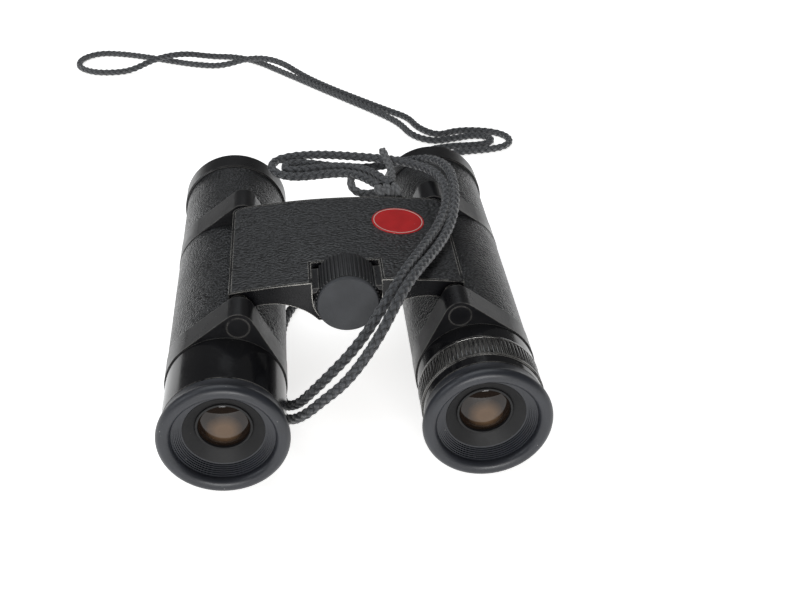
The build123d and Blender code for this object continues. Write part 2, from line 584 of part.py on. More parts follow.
for side, s in (("left", -1), ("right", 1)):
    bx = s * barrel_x
    hx = s * hinge_x
    barrel_axis = (bx, axis_z)
    hinge_axis = (hx, HINGE_HEIGHT)

    # The tube and its two lugs, with the front lug hollow for the focusing arm.
    with BuildPart() as barrel_body:
        with BuildSketch(across(tube_front)):
            with Locations(barrel_axis):
                Circle(tube_radius)
        extrude(amount=tube_front - ocular_front)
        for face, thickness in ((rear_lug_front, REAR_LUG), (front_lug_front, FRONT_LUG)):
            with BuildSketch(across(face)):
                with Locations(barrel_axis):
                    Circle(LUG_RADIUS)
                with Locations(hinge_axis):
                    Circle(LUG_APEX_RADIUS)
                make_hull()
            extrude(amount=thickness)
        with BuildSketch(across(tube_front)):
            with Locations(barrel_axis):
                Circle(bore_radius)
        extrude(amount=tube_front - ocular_front, mode=Mode.SUBTRACT)
        with BuildSketch(across(rear_lug_front)):
            with Locations(hinge_axis):
                Circle(PIN_RADIUS)
        extrude(amount=REAR_LUG, mode=Mode.SUBTRACT)
        with BuildSketch(across(ocular_front + CAP)):
            with Locations(hinge_axis):
                Circle(CAP_RADIUS)
        extrude(amount=CAP, mode=Mode.SUBTRACT)
        with BuildSketch(across(arm_room_rear)):
            with Locations(hinge_axis):
                Circle(PIN_RADIUS)
        extrude(amount=ARM_ROOM_REAR, mode=Mode.SUBTRACT)
        room_share = room_reach / 2 / swing_radius
        with BuildSketch(across(arm_room_front)):
            with Locations(hinge_axis):
                Circle(ARM_WIDTH / 2 + ARM_PLAY + 0.35)
            with Locations((hx + s * swing_x * room_share, HINGE_HEIGHT + swing_z * room_share)):
                Rectangle(ARM_WIDTH + 2 * ARM_PLAY, room_reach, rotation=s * lean)
        extrude(amount=arm_room_front - arm_room_rear, mode=Mode.SUBTRACT)

    # The push rod, its arm and the focusing lens's cell are one piece, which slides.
    with BuildPart() as focus_slider:
        with BuildSketch(across(arm_y + ARM_THICKNESS / 2)):
            with Locations(hinge_axis):
                Circle(PUSH_ROD_RADIUS)
        extrude(amount=arm_y + ARM_THICKNESS / 2 - yoke_y - NECK / 2)
        with BuildSketch(across(yoke_y + NECK / 2 + COLLAR)):
            with Locations(hinge_axis):
                Circle(COLLAR_RADIUS)
        extrude(amount=COLLAR)
        with BuildSketch(across(yoke_y + NECK / 2)):
            with Locations(hinge_axis):
                Circle(neck_radius)
        extrude(amount=NECK)
        with BuildSketch(across(yoke_y - NECK / 2)):
            with Locations(hinge_axis):
                Circle(COLLAR_RADIUS)
        extrude(amount=COLLAR)
        arm_share = arm_reach / 2 / swing_radius
        with BuildSketch(across(arm_y + ARM_THICKNESS / 2)):
            with Locations(hinge_axis):
                Circle(ARM_WIDTH / 2 + 0.2)
            with Locations((hx + s * swing_x * arm_share, HINGE_HEIGHT + swing_z * arm_share)):
                Rectangle(ARM_WIDTH, arm_reach, rotation=s * lean)
        extrude(amount=ARM_THICKNESS)
        with BuildSketch(across(arm_y + FOCUS_CELL_LENGTH / 2)):
            with Locations(barrel_axis):
                Circle(FOCUS_CELL_RADIUS)
                Circle(FOCUS_LENS_RADIUS, mode=Mode.SUBTRACT)
        extrude(amount=FOCUS_CELL_LENGTH)

    # The roof prism pair, two glass blocks with an air gap between their 45 degree faces.
    gap = PRISM_AIR_GAP * math.sqrt(2)
    block_front = prism_front - PRISM_PLATE
    block_rear = prism_rear + PRISM_PLATE
    top = axis_z + PRISM_HALF_HEIGHT
    bottom = axis_z - PRISM_HALF_HEIGHT
    corner_y = block_front - 15.0
    corner_z = axis_z + 1.0
    slant_end = corner_y + corner_z - bottom
    with BuildPart() as prisms:
        with BuildSketch(Plane.YZ.offset(bx - PRISM_HALF_WIDTH)):
            with BuildLine():
                Polyline(
                    (block_front, bottom), (block_front, top), (corner_y, top),
                    (corner_y, corner_z), (slant_end, bottom), close=True,
                )
            make_face()
            with BuildLine():
                Polyline(
                    (block_rear, bottom), (block_rear, top),
                    (slant_end - gap - 2 * PRISM_HALF_HEIGHT, top), (slant_end - gap, bottom), close=True,
                )
            make_face()
        extrude(amount=2 * PRISM_HALF_WIDTH)

    # The eyecup: a bored sleeve, a funnel mouth and a beaded rim.
    bead_y = rear_end + RIM_BEAD
    bead_x = RIM_RADIUS - RIM_BEAD
    with BuildPart() as eyecup:
        with BuildSketch(Plane((bx, 0, axis_z))):
            with BuildLine():
                ThreePointArc((bead_x - RIM_BEAD, bead_y), (bead_x, rear_end), (RIM_RADIUS, bead_y))
                ThreePointArc(
                    (RIM_RADIUS, bead_y),
                    (bead_x + RIM_BEAD * math.cos(math.radians(30)), bead_y + RIM_BEAD / 2),
                    (bead_x + RIM_BEAD / 2, bead_y + RIM_BEAD * math.sin(math.radians(60))),
                )
                Polyline(
                    (bead_x + RIM_BEAD / 2, bead_y + RIM_BEAD * math.sin(math.radians(60))),
                    (EYECUP_NECK_RADIUS, eyecup_front - 1.3), (EYECUP_NECK_RADIUS, eyecup_front),
                    (sleeve_radius, eyecup_front), (sleeve_radius, sleeve_front),
                    (sleeve_bore, sleeve_front), (sleeve_bore, eye_seat - 2.4),
                    (bead_x - RIM_BEAD, bead_y),
                )
            make_face()
        revolve(axis=Axis((bx, 0, axis_z), (0, 1, 0)))

    tube_outlines = [spigot_outline, plain_tube_outline if s < 0 else band_outline]
    if s > 0:
        tube_outlines.append(seat_outline)
    cell_play = 0 if s < 0 else SLIDING
    field_cell_outline = ring_outline(
        FIELD_LENS_RADIUS, cell_bore - cell_play, field_rear, field_rear + FIELD_CELL_LENGTH,
    )
    cap_outline = [
        (0, ocular_front), (CAP_RADIUS - 0.15, ocular_front), (CAP_RADIUS, ocular_front + 0.15),
        (CAP_RADIUS, ocular_front + CAP), (0, ocular_front + CAP),
    ]
    rear_pin_outline = [
        (0, ocular_front + CAP), (PIN_RADIUS, ocular_front + CAP),
        (PIN_RADIUS, rear_pin_front - 0.5), (0, rear_pin_front - 0.5),
    ]
    bush_outline = ring_outline(BUSH_BORE, PIN_RADIUS, bush_rear, arm_room_rear)
    washer_inner = PIN_RADIUS + 2 * RUNNING
    washer_outer = KNUCKLE_RADIUS - 0.1
    barrel_pieces = {
        "barrel_body": barrel_body,
        "barrel_leather": turned(bx, axis_z, ring_outline(tube_radius, SKIN_RADIUS, rear_lug_front, front_lug_rear)),
        "front_leather": turned(bx, axis_z, ring_outline(tube_radius, SKIN_RADIUS, front_lug_front, ring_rear)),
        "objective_ring": turned(bx, axis_z, objective_ring_outline),
        "objective_lens": lens(
            bx, axis_z, bore_radius, OBJECTIVE_APERTURE, lens_rear, tube_front, 0.5, 0.8,
        ),
        "objective_cell": turned(
            bx, axis_z,
            ring_outline(OBJECTIVE_APERTURE, bore_radius, lens_rear - OBJECTIVE_CELL_LENGTH, lens_rear),
        ),
        "focus_slider": focus_slider,
        "focus_lens": lens(
            bx, axis_z, FOCUS_LENS_RADIUS, FOCUS_LENS_RADIUS - 0.6, arm_y - 1.5, arm_y + 1.5, -0.5, -0.5,
        ),
        "prism_frame": turned(bx, axis_z, prism_frame_outline),
        "prisms": prisms,
        "ocular_tube": turned(bx, axis_z, *tube_outlines),
        "ocular_cell": turned(bx, axis_z, ocular_cell_outline),
        "field_cell": turned(bx, axis_z, field_cell_outline),
        "field_lens": lens(
            bx, axis_z, FIELD_LENS_RADIUS, FIELD_LENS_RADIUS - 0.5,
            field_rear + 0.8, field_rear + 3.2, 0.3, 0.9,
        ),
        "eye_lens": lens(
            bx, axis_z, EYE_LENS_RADIUS, EYE_APERTURE - 0.05,
            eye_seat, eye_seat + EYE_LENS_THICKNESS, 1.3, 0.4,
        ),
        "eye_lens_ring": turned(bx, axis_z, eye_ring_outline),
        "eyecup": eyecup,
        "hinge_pins": turned(hx, HINGE_HEIGHT, rear_pin_outline, bush_outline),
        "pin_cap": turned(hx, HINGE_HEIGHT, cap_outline),
        "hinge_washers": turned(
            hx, HINGE_HEIGHT,
            ring_outline(washer_inner, washer_outer, rear_lug_front + WASHER_PLAY, boss_rear),
            ring_outline(washer_inner, washer_outer, bridge_front, front_lug_rear - WASHER_PLAY),
        ),
    }
    for name, piece in barrel_pieces.items():
        write(piece, f"{side}_{name}")

# The right eyepiece's ring turns on its seat: a ribbed grip with a plain flange behind it.
grip_rear = diopter_front - SLIDING - DIOPTER_GRIP
with BuildPart() as diopter_ring:
    with BuildSketch(across(diopter_front - SLIDING)):
        with Locations((barrel_x, axis_z)):
            Circle(DIOPTER_RING_RADIUS)
            with PolarLocations(DIOPTER_RING_RADIUS, DIOPTER_RIBS):
                Rectangle(2 * DIOPTER_RIB_DEPTH, 0.6, mode=Mode.SUBTRACT)
    extrude(amount=DIOPTER_GRIP)
    with BuildSketch(across(grip_rear)):
        with Locations((barrel_x, axis_z)):
            Circle(OCULAR_RADIUS - 0.3)
    extrude(amount=grip_rear - eyecup_front - SLIDING)
    with BuildSketch(across(diopter_front)):
        with Locations((barrel_x, axis_z)):
            Circle(DIOPTER_SEAT_RADIUS + RUNNING)
    extrude(amount=OCULAR_LENGTH, mode=Mode.SUBTRACT)
write(diopter_ring, "right_diopter_ring")

# ---------------------------------------------------------------- the neck cord and its knot
# One limp braided cord, tied at the eyelet. It runs out doubled: over the bridge's right corner,
# down past the left eyepiece, under the barrels and out in front, where its far loop lies.
KNOT_SIZE = (8.0, 6.4, 5.6)
KNOT_ROUNDING = 2.3
KNOT_BEYOND_EYELET = 1.9        # the knot's centre, from the end of the eyelet's wire
KNOT_RISE = 1.2                 # and above the wire
knot_place = (EYELET_X, bridge_front + EYELET_REACH + KNOT_BEYOND_EYELET, EYELET_Z + KNOT_RISE)
with BuildPart() as cord_knot:
    with Locations(knot_place):
        Box(*KNOT_SIZE)
    fillet(cord_knot.edges(), KNOT_ROUNDING)
write(cord_knot, "cord_knot")

FLOOR = 1.3                     # the cord's centre line where it lies on the ground
HUMP = 4.3                      # and where it crosses over itself
cord_route = [
    # out of the knot, round the left turn and back over the right barrel
    (11.6, 20.6, 34.8), (8.0, 27.0, 34.6), (3.6, 31.6, 33.4), (-1.6, 33.8, 31.8), (-7.2, 35.0, 30.2),
    (-13.2, 36.8, 29.4), (-18.4, 41.2, 29.2), (-20.6, 48.6, 29.2), (-18.4, 54.2, 29.2), (-12.6, 54.8, 29.8),
    (-4.4, 50.2, 31.6), (3.8, 45.4, 32.8), (11.4, 41.4, 33.8), (17.4, 37.2, 35.0), (23.0, 31.4, 37.0),
    (27.0, 23.0, 38.8), (28.4, 12.8, 39.0),
    # across the bridge and down to the left eyepiece
    (26.6, 3.2, 38.4), (23.4, -5.6, 38.0), (18.6, -15.8, 38.3), (13.4, -27.2, 39.6), (8.6, -36.0, 37.0),
    (4.0, -38.6, 29.8), (-0.4, -39.4, 24.0), (-5.4, -39.6, 18.4), (-9.8, -38.8, 13.0), (-13.0, -36.4, 8.0),
    (-14.4, -30.2, 3.4),
    # under the barrels, on the ground
    (-15.2, -20.5, FLOOR), (-15.4, -4.0, FLOOR), (-13.8, 13.0, FLOOR), (-7.0, 26.6, FLOOR),
    (3.6, 35.4, FLOOR), (12.4, 46.0, FLOOR), (17.0, 60.0, FLOOR), (23.6, 77.0, FLOOR), (31.2, 94.0, FLOOR),
    # the right turn, in front
    (37.6, 105.6, FLOOR), (47.0, 108.6, FLOOR), (57.0, 109.2, FLOOR), (63.4, 111.4, FLOOR),
    (66.0, 116.6, FLOOR), (63.4, 122.0, FLOOR), (56.6, 125.4, FLOOR), (47.6, 126.2, FLOOR),
    (40.2, 122.4, FLOOR),
    # out to the far loop
    (33.8, 129.8, FLOOR), (31.4, 139.2, FLOOR), (25.2, 147.0, FLOOR), (15.2, 158.6, FLOOR),
    (4.4, 171.2, FLOOR), (-5.6, 184.6, FLOOR), (-16.4, 194.6, HUMP), (-27.6, 199.4, HUMP),
    (-39.5, 198.2, FLOOR), (-50.5, 200.8, FLOOR), (-61.5, 206.4, FLOOR), (-73.0, 212.6, FLOOR),
    (-84.6, 218.6, FLOOR), (-94.6, 220.6, FLOOR), (-102.2, 213.4, FLOOR), (-102.2, 202.8, FLOOR),
    (-94.8, 195.2, FLOOR), (-85.4, 194.0, FLOOR), (-76.5, 197.2, FLOOR), (-66.5, 202.4, HUMP),
    (-55.6, 206.8, HUMP), (-44.6, 209.6, FLOOR), (-34.6, 208.4, FLOOR), (-25.4, 202.2, FLOOR),
    (-17.8, 192.6, FLOOR), (-9.4, 180.6, FLOOR), (0.4, 168.0, FLOOR), (10.8, 155.4, FLOOR),
    (20.2, 143.8, FLOOR), (27.4, 134.0, FLOOR), (30.8, 123.6, FLOOR), (38.0, 117.6, FLOOR),
    # the inner right turn, and back under the barrels
    (46.0, 119.6, FLOOR), (53.0, 121.6, FLOOR), (58.2, 120.0, FLOOR), (59.2, 116.2, FLOOR),
    (56.0, 113.6, FLOOR), (50.4, 113.2, FLOOR), (42.8, 113.2, FLOOR), (34.0, 110.6, FLOOR),
    (26.8, 98.0, FLOOR), (19.8, 81.0, FLOOR), (13.4, 65.0, FLOOR), (8.4, 51.0, FLOOR),
    (-1.2, 40.6, FLOOR), (-11.4, 31.0, FLOOR), (-17.6, 15.6, FLOOR), (-19.0, -3.0, FLOOR),
    (-18.8, -19.0, FLOOR), (-17.8, -30.6, 1.8),
    # up past the left eyepiece and across the bridge
    (-15.4, -38.4, 5.0), (-11.4, -43.2, 10.2), (-7.0, -44.4, 15.2), (-2.4, -46.0, 20.4), (2.0, -46.0, 26.4),
    (6.4, -44.6, 33.0), (10.6, -38.4, 38.4), (15.0, -29.8, 40.0), (21.0, -18.0, 38.7), (25.8, -7.8, 38.0),
    (29.6, 1.4, 38.5), (32.0, 11.6, 39.4),
    # round the outside of the right bend, into the inner left turn, and back to the knot
    (32.2, 23.6, 38.4), (29.4, 33.4, 36.2), (24.0, 38.8, 33.6), (17.4, 41.6, 31.2), (11.0, 41.8, 30.0),
    (4.6, 43.4, 29.6), (-1.6, 46.4, 29.4), (-7.2, 49.0, 29.4), (-11.6, 50.0, 29.3), (-14.2, 48.4, 29.2),
    (-14.4, 45.4, 29.2), (-12.0, 43.6, 29.4), (-8.4, 43.0, 29.8), (-3.6, 41.6, 30.8), (1.6, 38.8, 32.4),
    (6.8, 34.4, 33.8), (11.2, 28.2, 34.8), (14.6, 21.0, 34.8),
]


def corner_radii(points, share=0.45):
    """The radius of each corner's arc, as large as its two runs allow."""
    radii = []
    for before, here, after in zip(points, points[1:], points[2:]):
        arriving = Vector(*here) - Vector(*before)
        leaving = Vector(*after) - Vector(*here)
        half_turn = math.radians(arriving.get_angle(leaving)) / 2
        radii.append(share * min(arriving.length, leaving.length) / math.tan(half_turn))
    return radii


cord_radii = corner_radii(cord_route)
with BuildPart() as neck_cord:
    with BuildLine() as cord_path:
        FilletPolyline(*cord_route, radius=cord_radii)
    with BuildSketch(Plane(cord_route[0], z_dir=Vector(*cord_route[1]) - Vector(*cord_route[0]))):
        Circle(CORD_DIAMETER / 2)
    sweep()
write(neck_cord, "neck_cord")
cord_length = sum(edge.length for edge in cord_path.edges())
cord_volume = cord_length * math.pi * CORD_DIAMETER ** 2 / 4
print("cord length", round(cord_length), "volume", round(neck_cord.part.volume), "of", round(cord_volume))
print("cord radii", sorted(round(radius, 1) for radius in cord_radii)[:16])
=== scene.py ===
import math

import bmesh
import bpy
from mathutils import Matrix, Vector


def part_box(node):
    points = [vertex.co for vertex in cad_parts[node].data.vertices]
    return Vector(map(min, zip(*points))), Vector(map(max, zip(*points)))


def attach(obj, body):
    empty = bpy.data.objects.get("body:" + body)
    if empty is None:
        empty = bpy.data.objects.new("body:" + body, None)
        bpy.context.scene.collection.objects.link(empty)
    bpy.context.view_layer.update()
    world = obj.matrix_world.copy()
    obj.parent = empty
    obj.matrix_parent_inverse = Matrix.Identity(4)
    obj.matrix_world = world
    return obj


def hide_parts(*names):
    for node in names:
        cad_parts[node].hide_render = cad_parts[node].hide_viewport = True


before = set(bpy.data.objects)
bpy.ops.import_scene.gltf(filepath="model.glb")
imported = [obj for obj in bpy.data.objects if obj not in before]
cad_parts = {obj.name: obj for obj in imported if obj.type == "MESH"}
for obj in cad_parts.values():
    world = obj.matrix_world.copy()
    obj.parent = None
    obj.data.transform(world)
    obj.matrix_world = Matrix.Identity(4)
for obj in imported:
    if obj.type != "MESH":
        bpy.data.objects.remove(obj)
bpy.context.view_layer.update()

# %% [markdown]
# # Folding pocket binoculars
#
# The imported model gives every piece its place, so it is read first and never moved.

MM = 0.001
BARREL_X = {"left": -29.0, "right": 29.0}
BARREL_Z = 14.6

# %% [markdown]
# ## Camera
#
# The binoculars lie on a table and the viewer stands behind the eyepieces, looking down at about
# thirty-three degrees. A camera can be aimed with a constraint, or by writing its matrix. The matrix
# is used here: its columns are the camera's right, its up and its backward direction, which keeps
# the small roll of a hand-held view.

# %% The camera, behind the eyepieces
CAMERA_PLACE = Vector((-8.5, -242.2, 171.98)) * MM
CAMERA_HEADING = math.radians(5.03)
CAMERA_TILT = math.radians(-33.04)
CAMERA_ROLL = math.radians(-0.32)
CAMERA_LENS = 50.94

forward = Vector((
    math.sin(CAMERA_HEADING) * math.cos(CAMERA_TILT),
    math.cos(CAMERA_HEADING) * math.cos(CAMERA_TILT),
    math.sin(CAMERA_TILT),
))
level = Vector((math.cos(CAMERA_HEADING), -math.sin(CAMERA_HEADING), 0))
upright = level.cross(forward)
right = math.cos(CAMERA_ROLL) * level + math.sin(CAMERA_ROLL) * upright
up = math.cos(CAMERA_ROLL) * upright - math.sin(CAMERA_ROLL) * level

camera = bpy.data.objects.new("camera", bpy.data.cameras.new("camera"))
camera.data.lens = CAMERA_LENS
camera.data.clip_start = 0.01
camera.matrix_world = Matrix.Translation(CAMERA_PLACE) @ Matrix((right, up, -forward)).transposed().to_4x4()
bpy.context.scene.collection.objects.link(camera)
bpy.context.scene.camera = camera
print("camera", round(CAMERA_PLACE.length / MM), "mm from the object's foot, lens", CAMERA_LENS)

# %% [markdown]
# ## The neck cord's line
#
# The cord is one piece of limp braid, tied at the bridge and doubled. Its points were chosen one
# bend at a time, and they are control points: the smooth line passes near them. A NURBS spline of
# order 3 does that. The order and the endpoint flag come after the points, because a spline with
# too few points silently drops to straight runs.

# %% The cord's control points, in mm
FLOOR = 1.3
HUMP = 4.3
CORD_DIAMETER = 2.4
cord_route = [
    # out of the knot, round the left turn and back over the right barrel
    (11.6, 20.6, 34.8), (8.0, 27.0, 34.6), (3.6, 32.4, 33.4), (-1.6, 35.6, 31.8), (-7.2, 37.8, 30.2),
    (-12.4, 39.4, 29.4), (-16.6, 42.6, 29.2), (-18.0, 47.2, 29.2), (-16.2, 51.0, 29.2), (-11.6, 51.9, 29.8),
    (-4.4, 49.0, 31.4), (3.8, 45.2, 32.4), (11.4, 41.4, 33.2), (17.4, 37.2, 34.2), (23.0, 31.4, 35.4),
    (27.0, 23.0, 37.0), (28.4, 12.8, 37.0),
    # across the bridge and down to the left eyepiece
    (26.6, 3.2, 36.6), (23.4, -5.6, 36.4), (18.6, -15.8, 36.8), (13.4, -27.2, 38.2), (8.6, -36.0, 36.2),
    (4.0, -38.6, 29.8), (-0.4, -39.4, 24.0), (-5.4, -39.6, 18.4), (-9.8, -38.8, 13.0), (-13.0, -36.4, 8.0),
    (-16.6, -30.0, 3.0),
    # under the barrels, on the ground
    (-17.0, -20.5, FLOOR), (-17.2, -4.0, FLOOR), (-16.0, 12.0, FLOOR), (-7.0, 26.6, FLOOR),
    (3.6, 35.4, FLOOR), (12.4, 46.0, FLOOR), (17.0, 60.0, FLOOR), (23.6, 77.0, FLOOR), (31.2, 94.0, FLOOR),
    # the right turn, in front
    (37.6, 105.6, FLOOR), (47.0, 108.6, FLOOR), (57.0, 109.2, FLOOR), (63.4, 111.4, FLOOR),
    (66.0, 116.6, FLOOR), (63.4, 122.0, FLOOR), (56.6, 125.4, FLOOR), (47.6, 126.2, FLOOR),
    (40.2, 122.4, FLOOR),
    # out to the far loop
    (33.8, 129.8, FLOOR), (31.4, 139.2, FLOOR), (24.4, 146.4, FLOOR), (14.3, 157.9, FLOOR),
    (3.5, 170.5, FLOOR), (-6.4, 183.8, FLOOR), (-16.4, 194.6, HUMP), (-27.6, 199.4, HUMP),
    (-39.5, 198.2, FLOOR), (-50.5, 200.8, FLOOR), (-61.5, 206.4, FLOOR), (-73.0, 212.6, FLOOR),
    (-83.6, 217.0, FLOOR), (-92.4, 218.4, FLOOR), (-99.0, 212.4, FLOOR), (-99.0, 203.4, FLOOR),
    (-92.4, 197.0, FLOOR), (-84.2, 195.6, FLOOR), (-76.5, 197.2, FLOOR), (-66.5, 202.4, HUMP),
    (-55.6, 206.8, HUMP), (-44.6, 209.6, FLOOR), (-34.6, 208.4, FLOOR), (-25.4, 202.2, FLOOR),
    (-17.8, 192.6, FLOOR), (-8.7, 181.2, FLOOR), (1.2, 168.7, FLOOR), (11.6, 156.0, FLOOR),
    (21.0, 144.4, FLOOR), (27.8, 134.4, FLOOR), (30.8, 123.6, FLOOR), (38.0, 117.6, FLOOR),
    # the inner right turn, and back under the barrels
    (46.0, 119.6, FLOOR), (53.0, 121.6, FLOOR), (58.2, 120.0, FLOOR), (59.2, 116.2, FLOOR),
    (56.0, 113.6, FLOOR), (50.4, 113.2, FLOOR), (42.8, 113.2, FLOOR), (34.0, 110.6, FLOOR),
    (26.8, 98.0, FLOOR), (19.8, 81.0, FLOOR), (13.4, 65.0, FLOOR), (8.4, 51.0, FLOOR),
    (-1.2, 40.6, FLOOR), (-11.4, 31.0, FLOOR), (-19.0, 15.0, FLOOR), (-19.8, -3.0, FLOOR),
    (-19.7, -19.0, FLOOR), (-19.0, -30.0, 1.8),
    # up past the left eyepiece and across the bridge
    (-15.4, -38.4, 5.0), (-11.4, -43.2, 10.2), (-7.0, -44.4, 15.2), (-2.4, -46.0, 20.4), (2.0, -46.0, 26.4),
    (6.4, -44.6, 33.0), (10.6, -38.4, 37.2), (15.0, -29.8, 38.4), (21.0, -18.0, 36.8), (25.8, -7.8, 36.3),
    (28.8, 1.4, 37.5), (30.2, 11.6, 38.6),
    # round the outside of the right bend, into the inner left turn, and back to the knot
    (30.4, 23.4, 38.0), (28.0, 32.6, 36.2), (24.0, 38.8, 33.6), (17.4, 41.6, 31.2), (11.0, 41.8, 30.0),
    (4.6, 43.0, 29.6), (-1.6, 45.4, 29.4), (-7.2, 47.6, 29.4), (-11.4, 48.6, 29.3), (-13.8, 47.4, 29.2),
    (-13.8, 44.8, 29.2), (-11.6, 43.2, 29.4), (-8.4, 43.0, 29.8), (-3.6, 41.6, 30.8), (1.6, 38.8, 32.4),
    (6.8, 34.4, 33.8), (11.2, 28.2, 34.8), (14.6, 21.0, 34.8),
]


def nurbs_line(name, points):
    """A curve object of one smooth open spline through control points given in mm."""
    curve = bpy.data.curves.new(name, "CURVE")
    curve.dimensions = "3D"
    curve.resolution_u = 10
    spline = curve.splines.new("NURBS")
    spline.points.add(len(points) - 1)
    for place, point in zip(points, spline.points):
        point.co = (*(Vector(place) * MM), 1)
    spline.order_u = 3
    spline.use_endpoint_u = True
    line = bpy.data.objects.new(name, curve)
    bpy.context.scene.collection.objects.link(line)
    return line


def read_line(line):
    """The smooth line's own points, in metres, and the curve object removed."""
    bpy.context.view_layer.update()
    evaluated = line.evaluated_get(bpy.context.evaluated_depsgraph_get())
    mesh = bpy.data.meshes.new_from_object(evaluated)
    points = [vertex.co.copy() for vertex in mesh.vertices]
    bpy.data.meshes.remove(mesh)
    bpy.data.objects.remove(line)
    return points


cord_line = read_line(nurbs_line("cord_line", cord_route))
cord_length = sum((b - a).length for a, b in zip(cord_line, cord_line[1:]))
print("cord:", len(cord_line), "points,", round(cord_length / MM), "mm")

# %% [markdown]
# ## The braid
#
# A braided cord is two families of yarns that wind opposite ways and pass over and under each
# other. It could be dozens of separate strands, but one tube whose skin rises and falls with the
# yarns gives the same outline for far fewer faces. The tube's own coordinates, once round and along
# its length, let the material draw the finer yarns on exactly the same pattern.

# %% A braided tube along a line
YARNS = 4                       # of each family, round the cord
PICK = 2.3 * MM                 # along the cord, from one yarn of a family to the next
RING_STEP = 0.4 * MM
RING_SIDES = 20
BRAID_RELIEF = 0.42 * MM


def even_points(points, step):
    """Points along a line at even steps."""
    total = sum((b - a).length for a, b in zip(points, points[1:]))
    count = max(2, round(total / step))
    spacing = total / count
    places = [points[0].copy()]
    walked = 0.0
    for a, b in zip(points, points[1:]):
        run = (b - a).length
        while len(places) < count and walked + run >= spacing * len(places):
            places.append(a.lerp(b, (spacing * len(places) - walked) / run))
        walked += run
    places.append(points[-1].copy())
    return places, spacing


def yarn_height(around, along):
    """How high the braid's skin stands, from 0 between the yarns to 1 on top of one."""
    right_hand = YARNS * around + along / PICK
    left_hand = YARNS * around - along / PICK
    over = (math.floor(right_hand) + math.floor(left_hand)) % 2
    across, lengthwise = (right_hand, left_hand) if over else (left_hand, right_hand)
    side = 2 * (across % 1) - 1
    end = 2 * (lengthwise % 1) - 1
    return math.sqrt(1 - side * side) * (1 - 0.6 * end * end)


def braided_tube(name, points, diameter):
    """A closed tube of braid along points in metres, with its UV map round and along it."""
    centres, spacing = even_points(points, RING_STEP)
    bm = bmesh.new()
    uv = bm.loops.layers.uv.new("UVMap")
    rings = []
    tangent = (centres[1] - centres[0]).normalized()
    side = tangent.orthogonal().normalized()
    for index, centre in enumerate(centres):
        after = centres[min(index + 1, len(centres) - 1)]
        before = centres[max(index - 1, 0)]
        turned = (after - before).normalized()
        side.rotate(tangent.rotation_difference(turned))
        side = (side - turned * side.dot(turned)).normalized()
        tangent = turned
        other = tangent.cross(side)
        ring = []
        for corner in range(RING_SIDES):
            share = corner / RING_SIDES
            angle = math.tau * share
            rise = BRAID_RELIEF * (yarn_height(share, index * spacing) - 0.8)
            radius = diameter / 2 + rise
            ring.append(bm.verts.new(centre + radius * (math.cos(angle) * side + math.sin(angle) * other)))
        rings.append(ring)
    for index, (ring, following) in enumerate(zip(rings, rings[1:])):
        for corner in range(RING_SIDES):
            after = (corner + 1) % RING_SIDES
            face = bm.faces.new((ring[corner], ring[after], following[after], following[corner]))
            face.smooth = True
            corners = ((corner, index), (corner + 1, index), (corner + 1, index + 1), (corner, index + 1))
            for loop, (round_it, along_it) in zip(face.loops, corners):
                loop[uv].uv = (round_it / RING_SIDES, along_it * spacing / PICK)
    bm.faces.new(reversed(rings[0]))
    bm.faces.new(rings[-1])
    mesh = bpy.data.meshes.new(name)
    bm.to_mesh(mesh)
    bm.free()
    tube = bpy.data.objects.new(name, mesh)
    bpy.context.scene.collection.objects.link(tube)
    return tube


neck_cord = braided_tube("neck_cord_braid", cord_line, CORD_DIAMETER * MM)
print("braid:", len(neck_cord.data.polygons), "faces")

# %% [markdown]
# ## Shared surface effects
#
# Most of these pieces are black, so the eye tells them apart by their texture: pebbled leather,
# satin enamel, moulded rubber, polished lacquer, braided yarn. Each effect that more than one
# material needs is a node group with its own inputs, so a material is a short list of choices.

# %% Helpers for node trees
def new_group(name, inputs, outputs):
    """An empty shader group with the sockets named, and its input and output nodes."""
    group = bpy.data.node_groups.new(name, "ShaderNodeTree")
    for label, kind, value in inputs:
        socket = group.interface.new_socket(label, in_out="INPUT", socket_type="NodeSocket" + kind)
        if value is not None:
            socket.default_value = value
    for label, kind in outputs:
        group.interface.new_socket(label, in_out="OUTPUT", socket_type="NodeSocket" + kind)
    return group, group.nodes.new("NodeGroupInput").outputs, group.nodes.new("NodeGroupOutput").inputs


def put(value, socket):
    """Links an output to a socket, or sets the socket's own value."""
    if isinstance(value, bpy.types.NodeSocket):
        socket.id_data.links.new(value, socket)
    else:
        socket.default_value = value


def add_node(tree, kind, settings=(), **sockets):
    """A new node with some settings, and its inputs linked or set by name."""
    node = tree.nodes.new("ShaderNode" + kind)
    for key, value in dict(settings).items():
        setattr(node, key, value)
    for label, value in sockets.items():
        put(value, node.inputs[label.replace("_", " ")])
    return node


def math_node(tree, operation, *values):
    node = tree.nodes.new("ShaderNodeMath")
    node.operation = operation
    for value, socket in zip(values, node.inputs):
        put(value, socket)
    return node.outputs[0]


def remap(tree, value, from_low, from_high, to_low=0.0, to_high=1.0):
    node = tree.nodes.new("ShaderNodeMapRange")
    for given, socket in zip((value, from_low, from_high, to_low, to_high), node.inputs):
        put(given, socket)
    return node.outputs[0]


def noise(tree, vector, scale, detail=3.0, roughness=0.55):
    node = add_node(tree, "TexNoise", Vector=vector, Scale=scale, Detail=detail, Roughness=roughness)
    return node.outputs["Fac"]


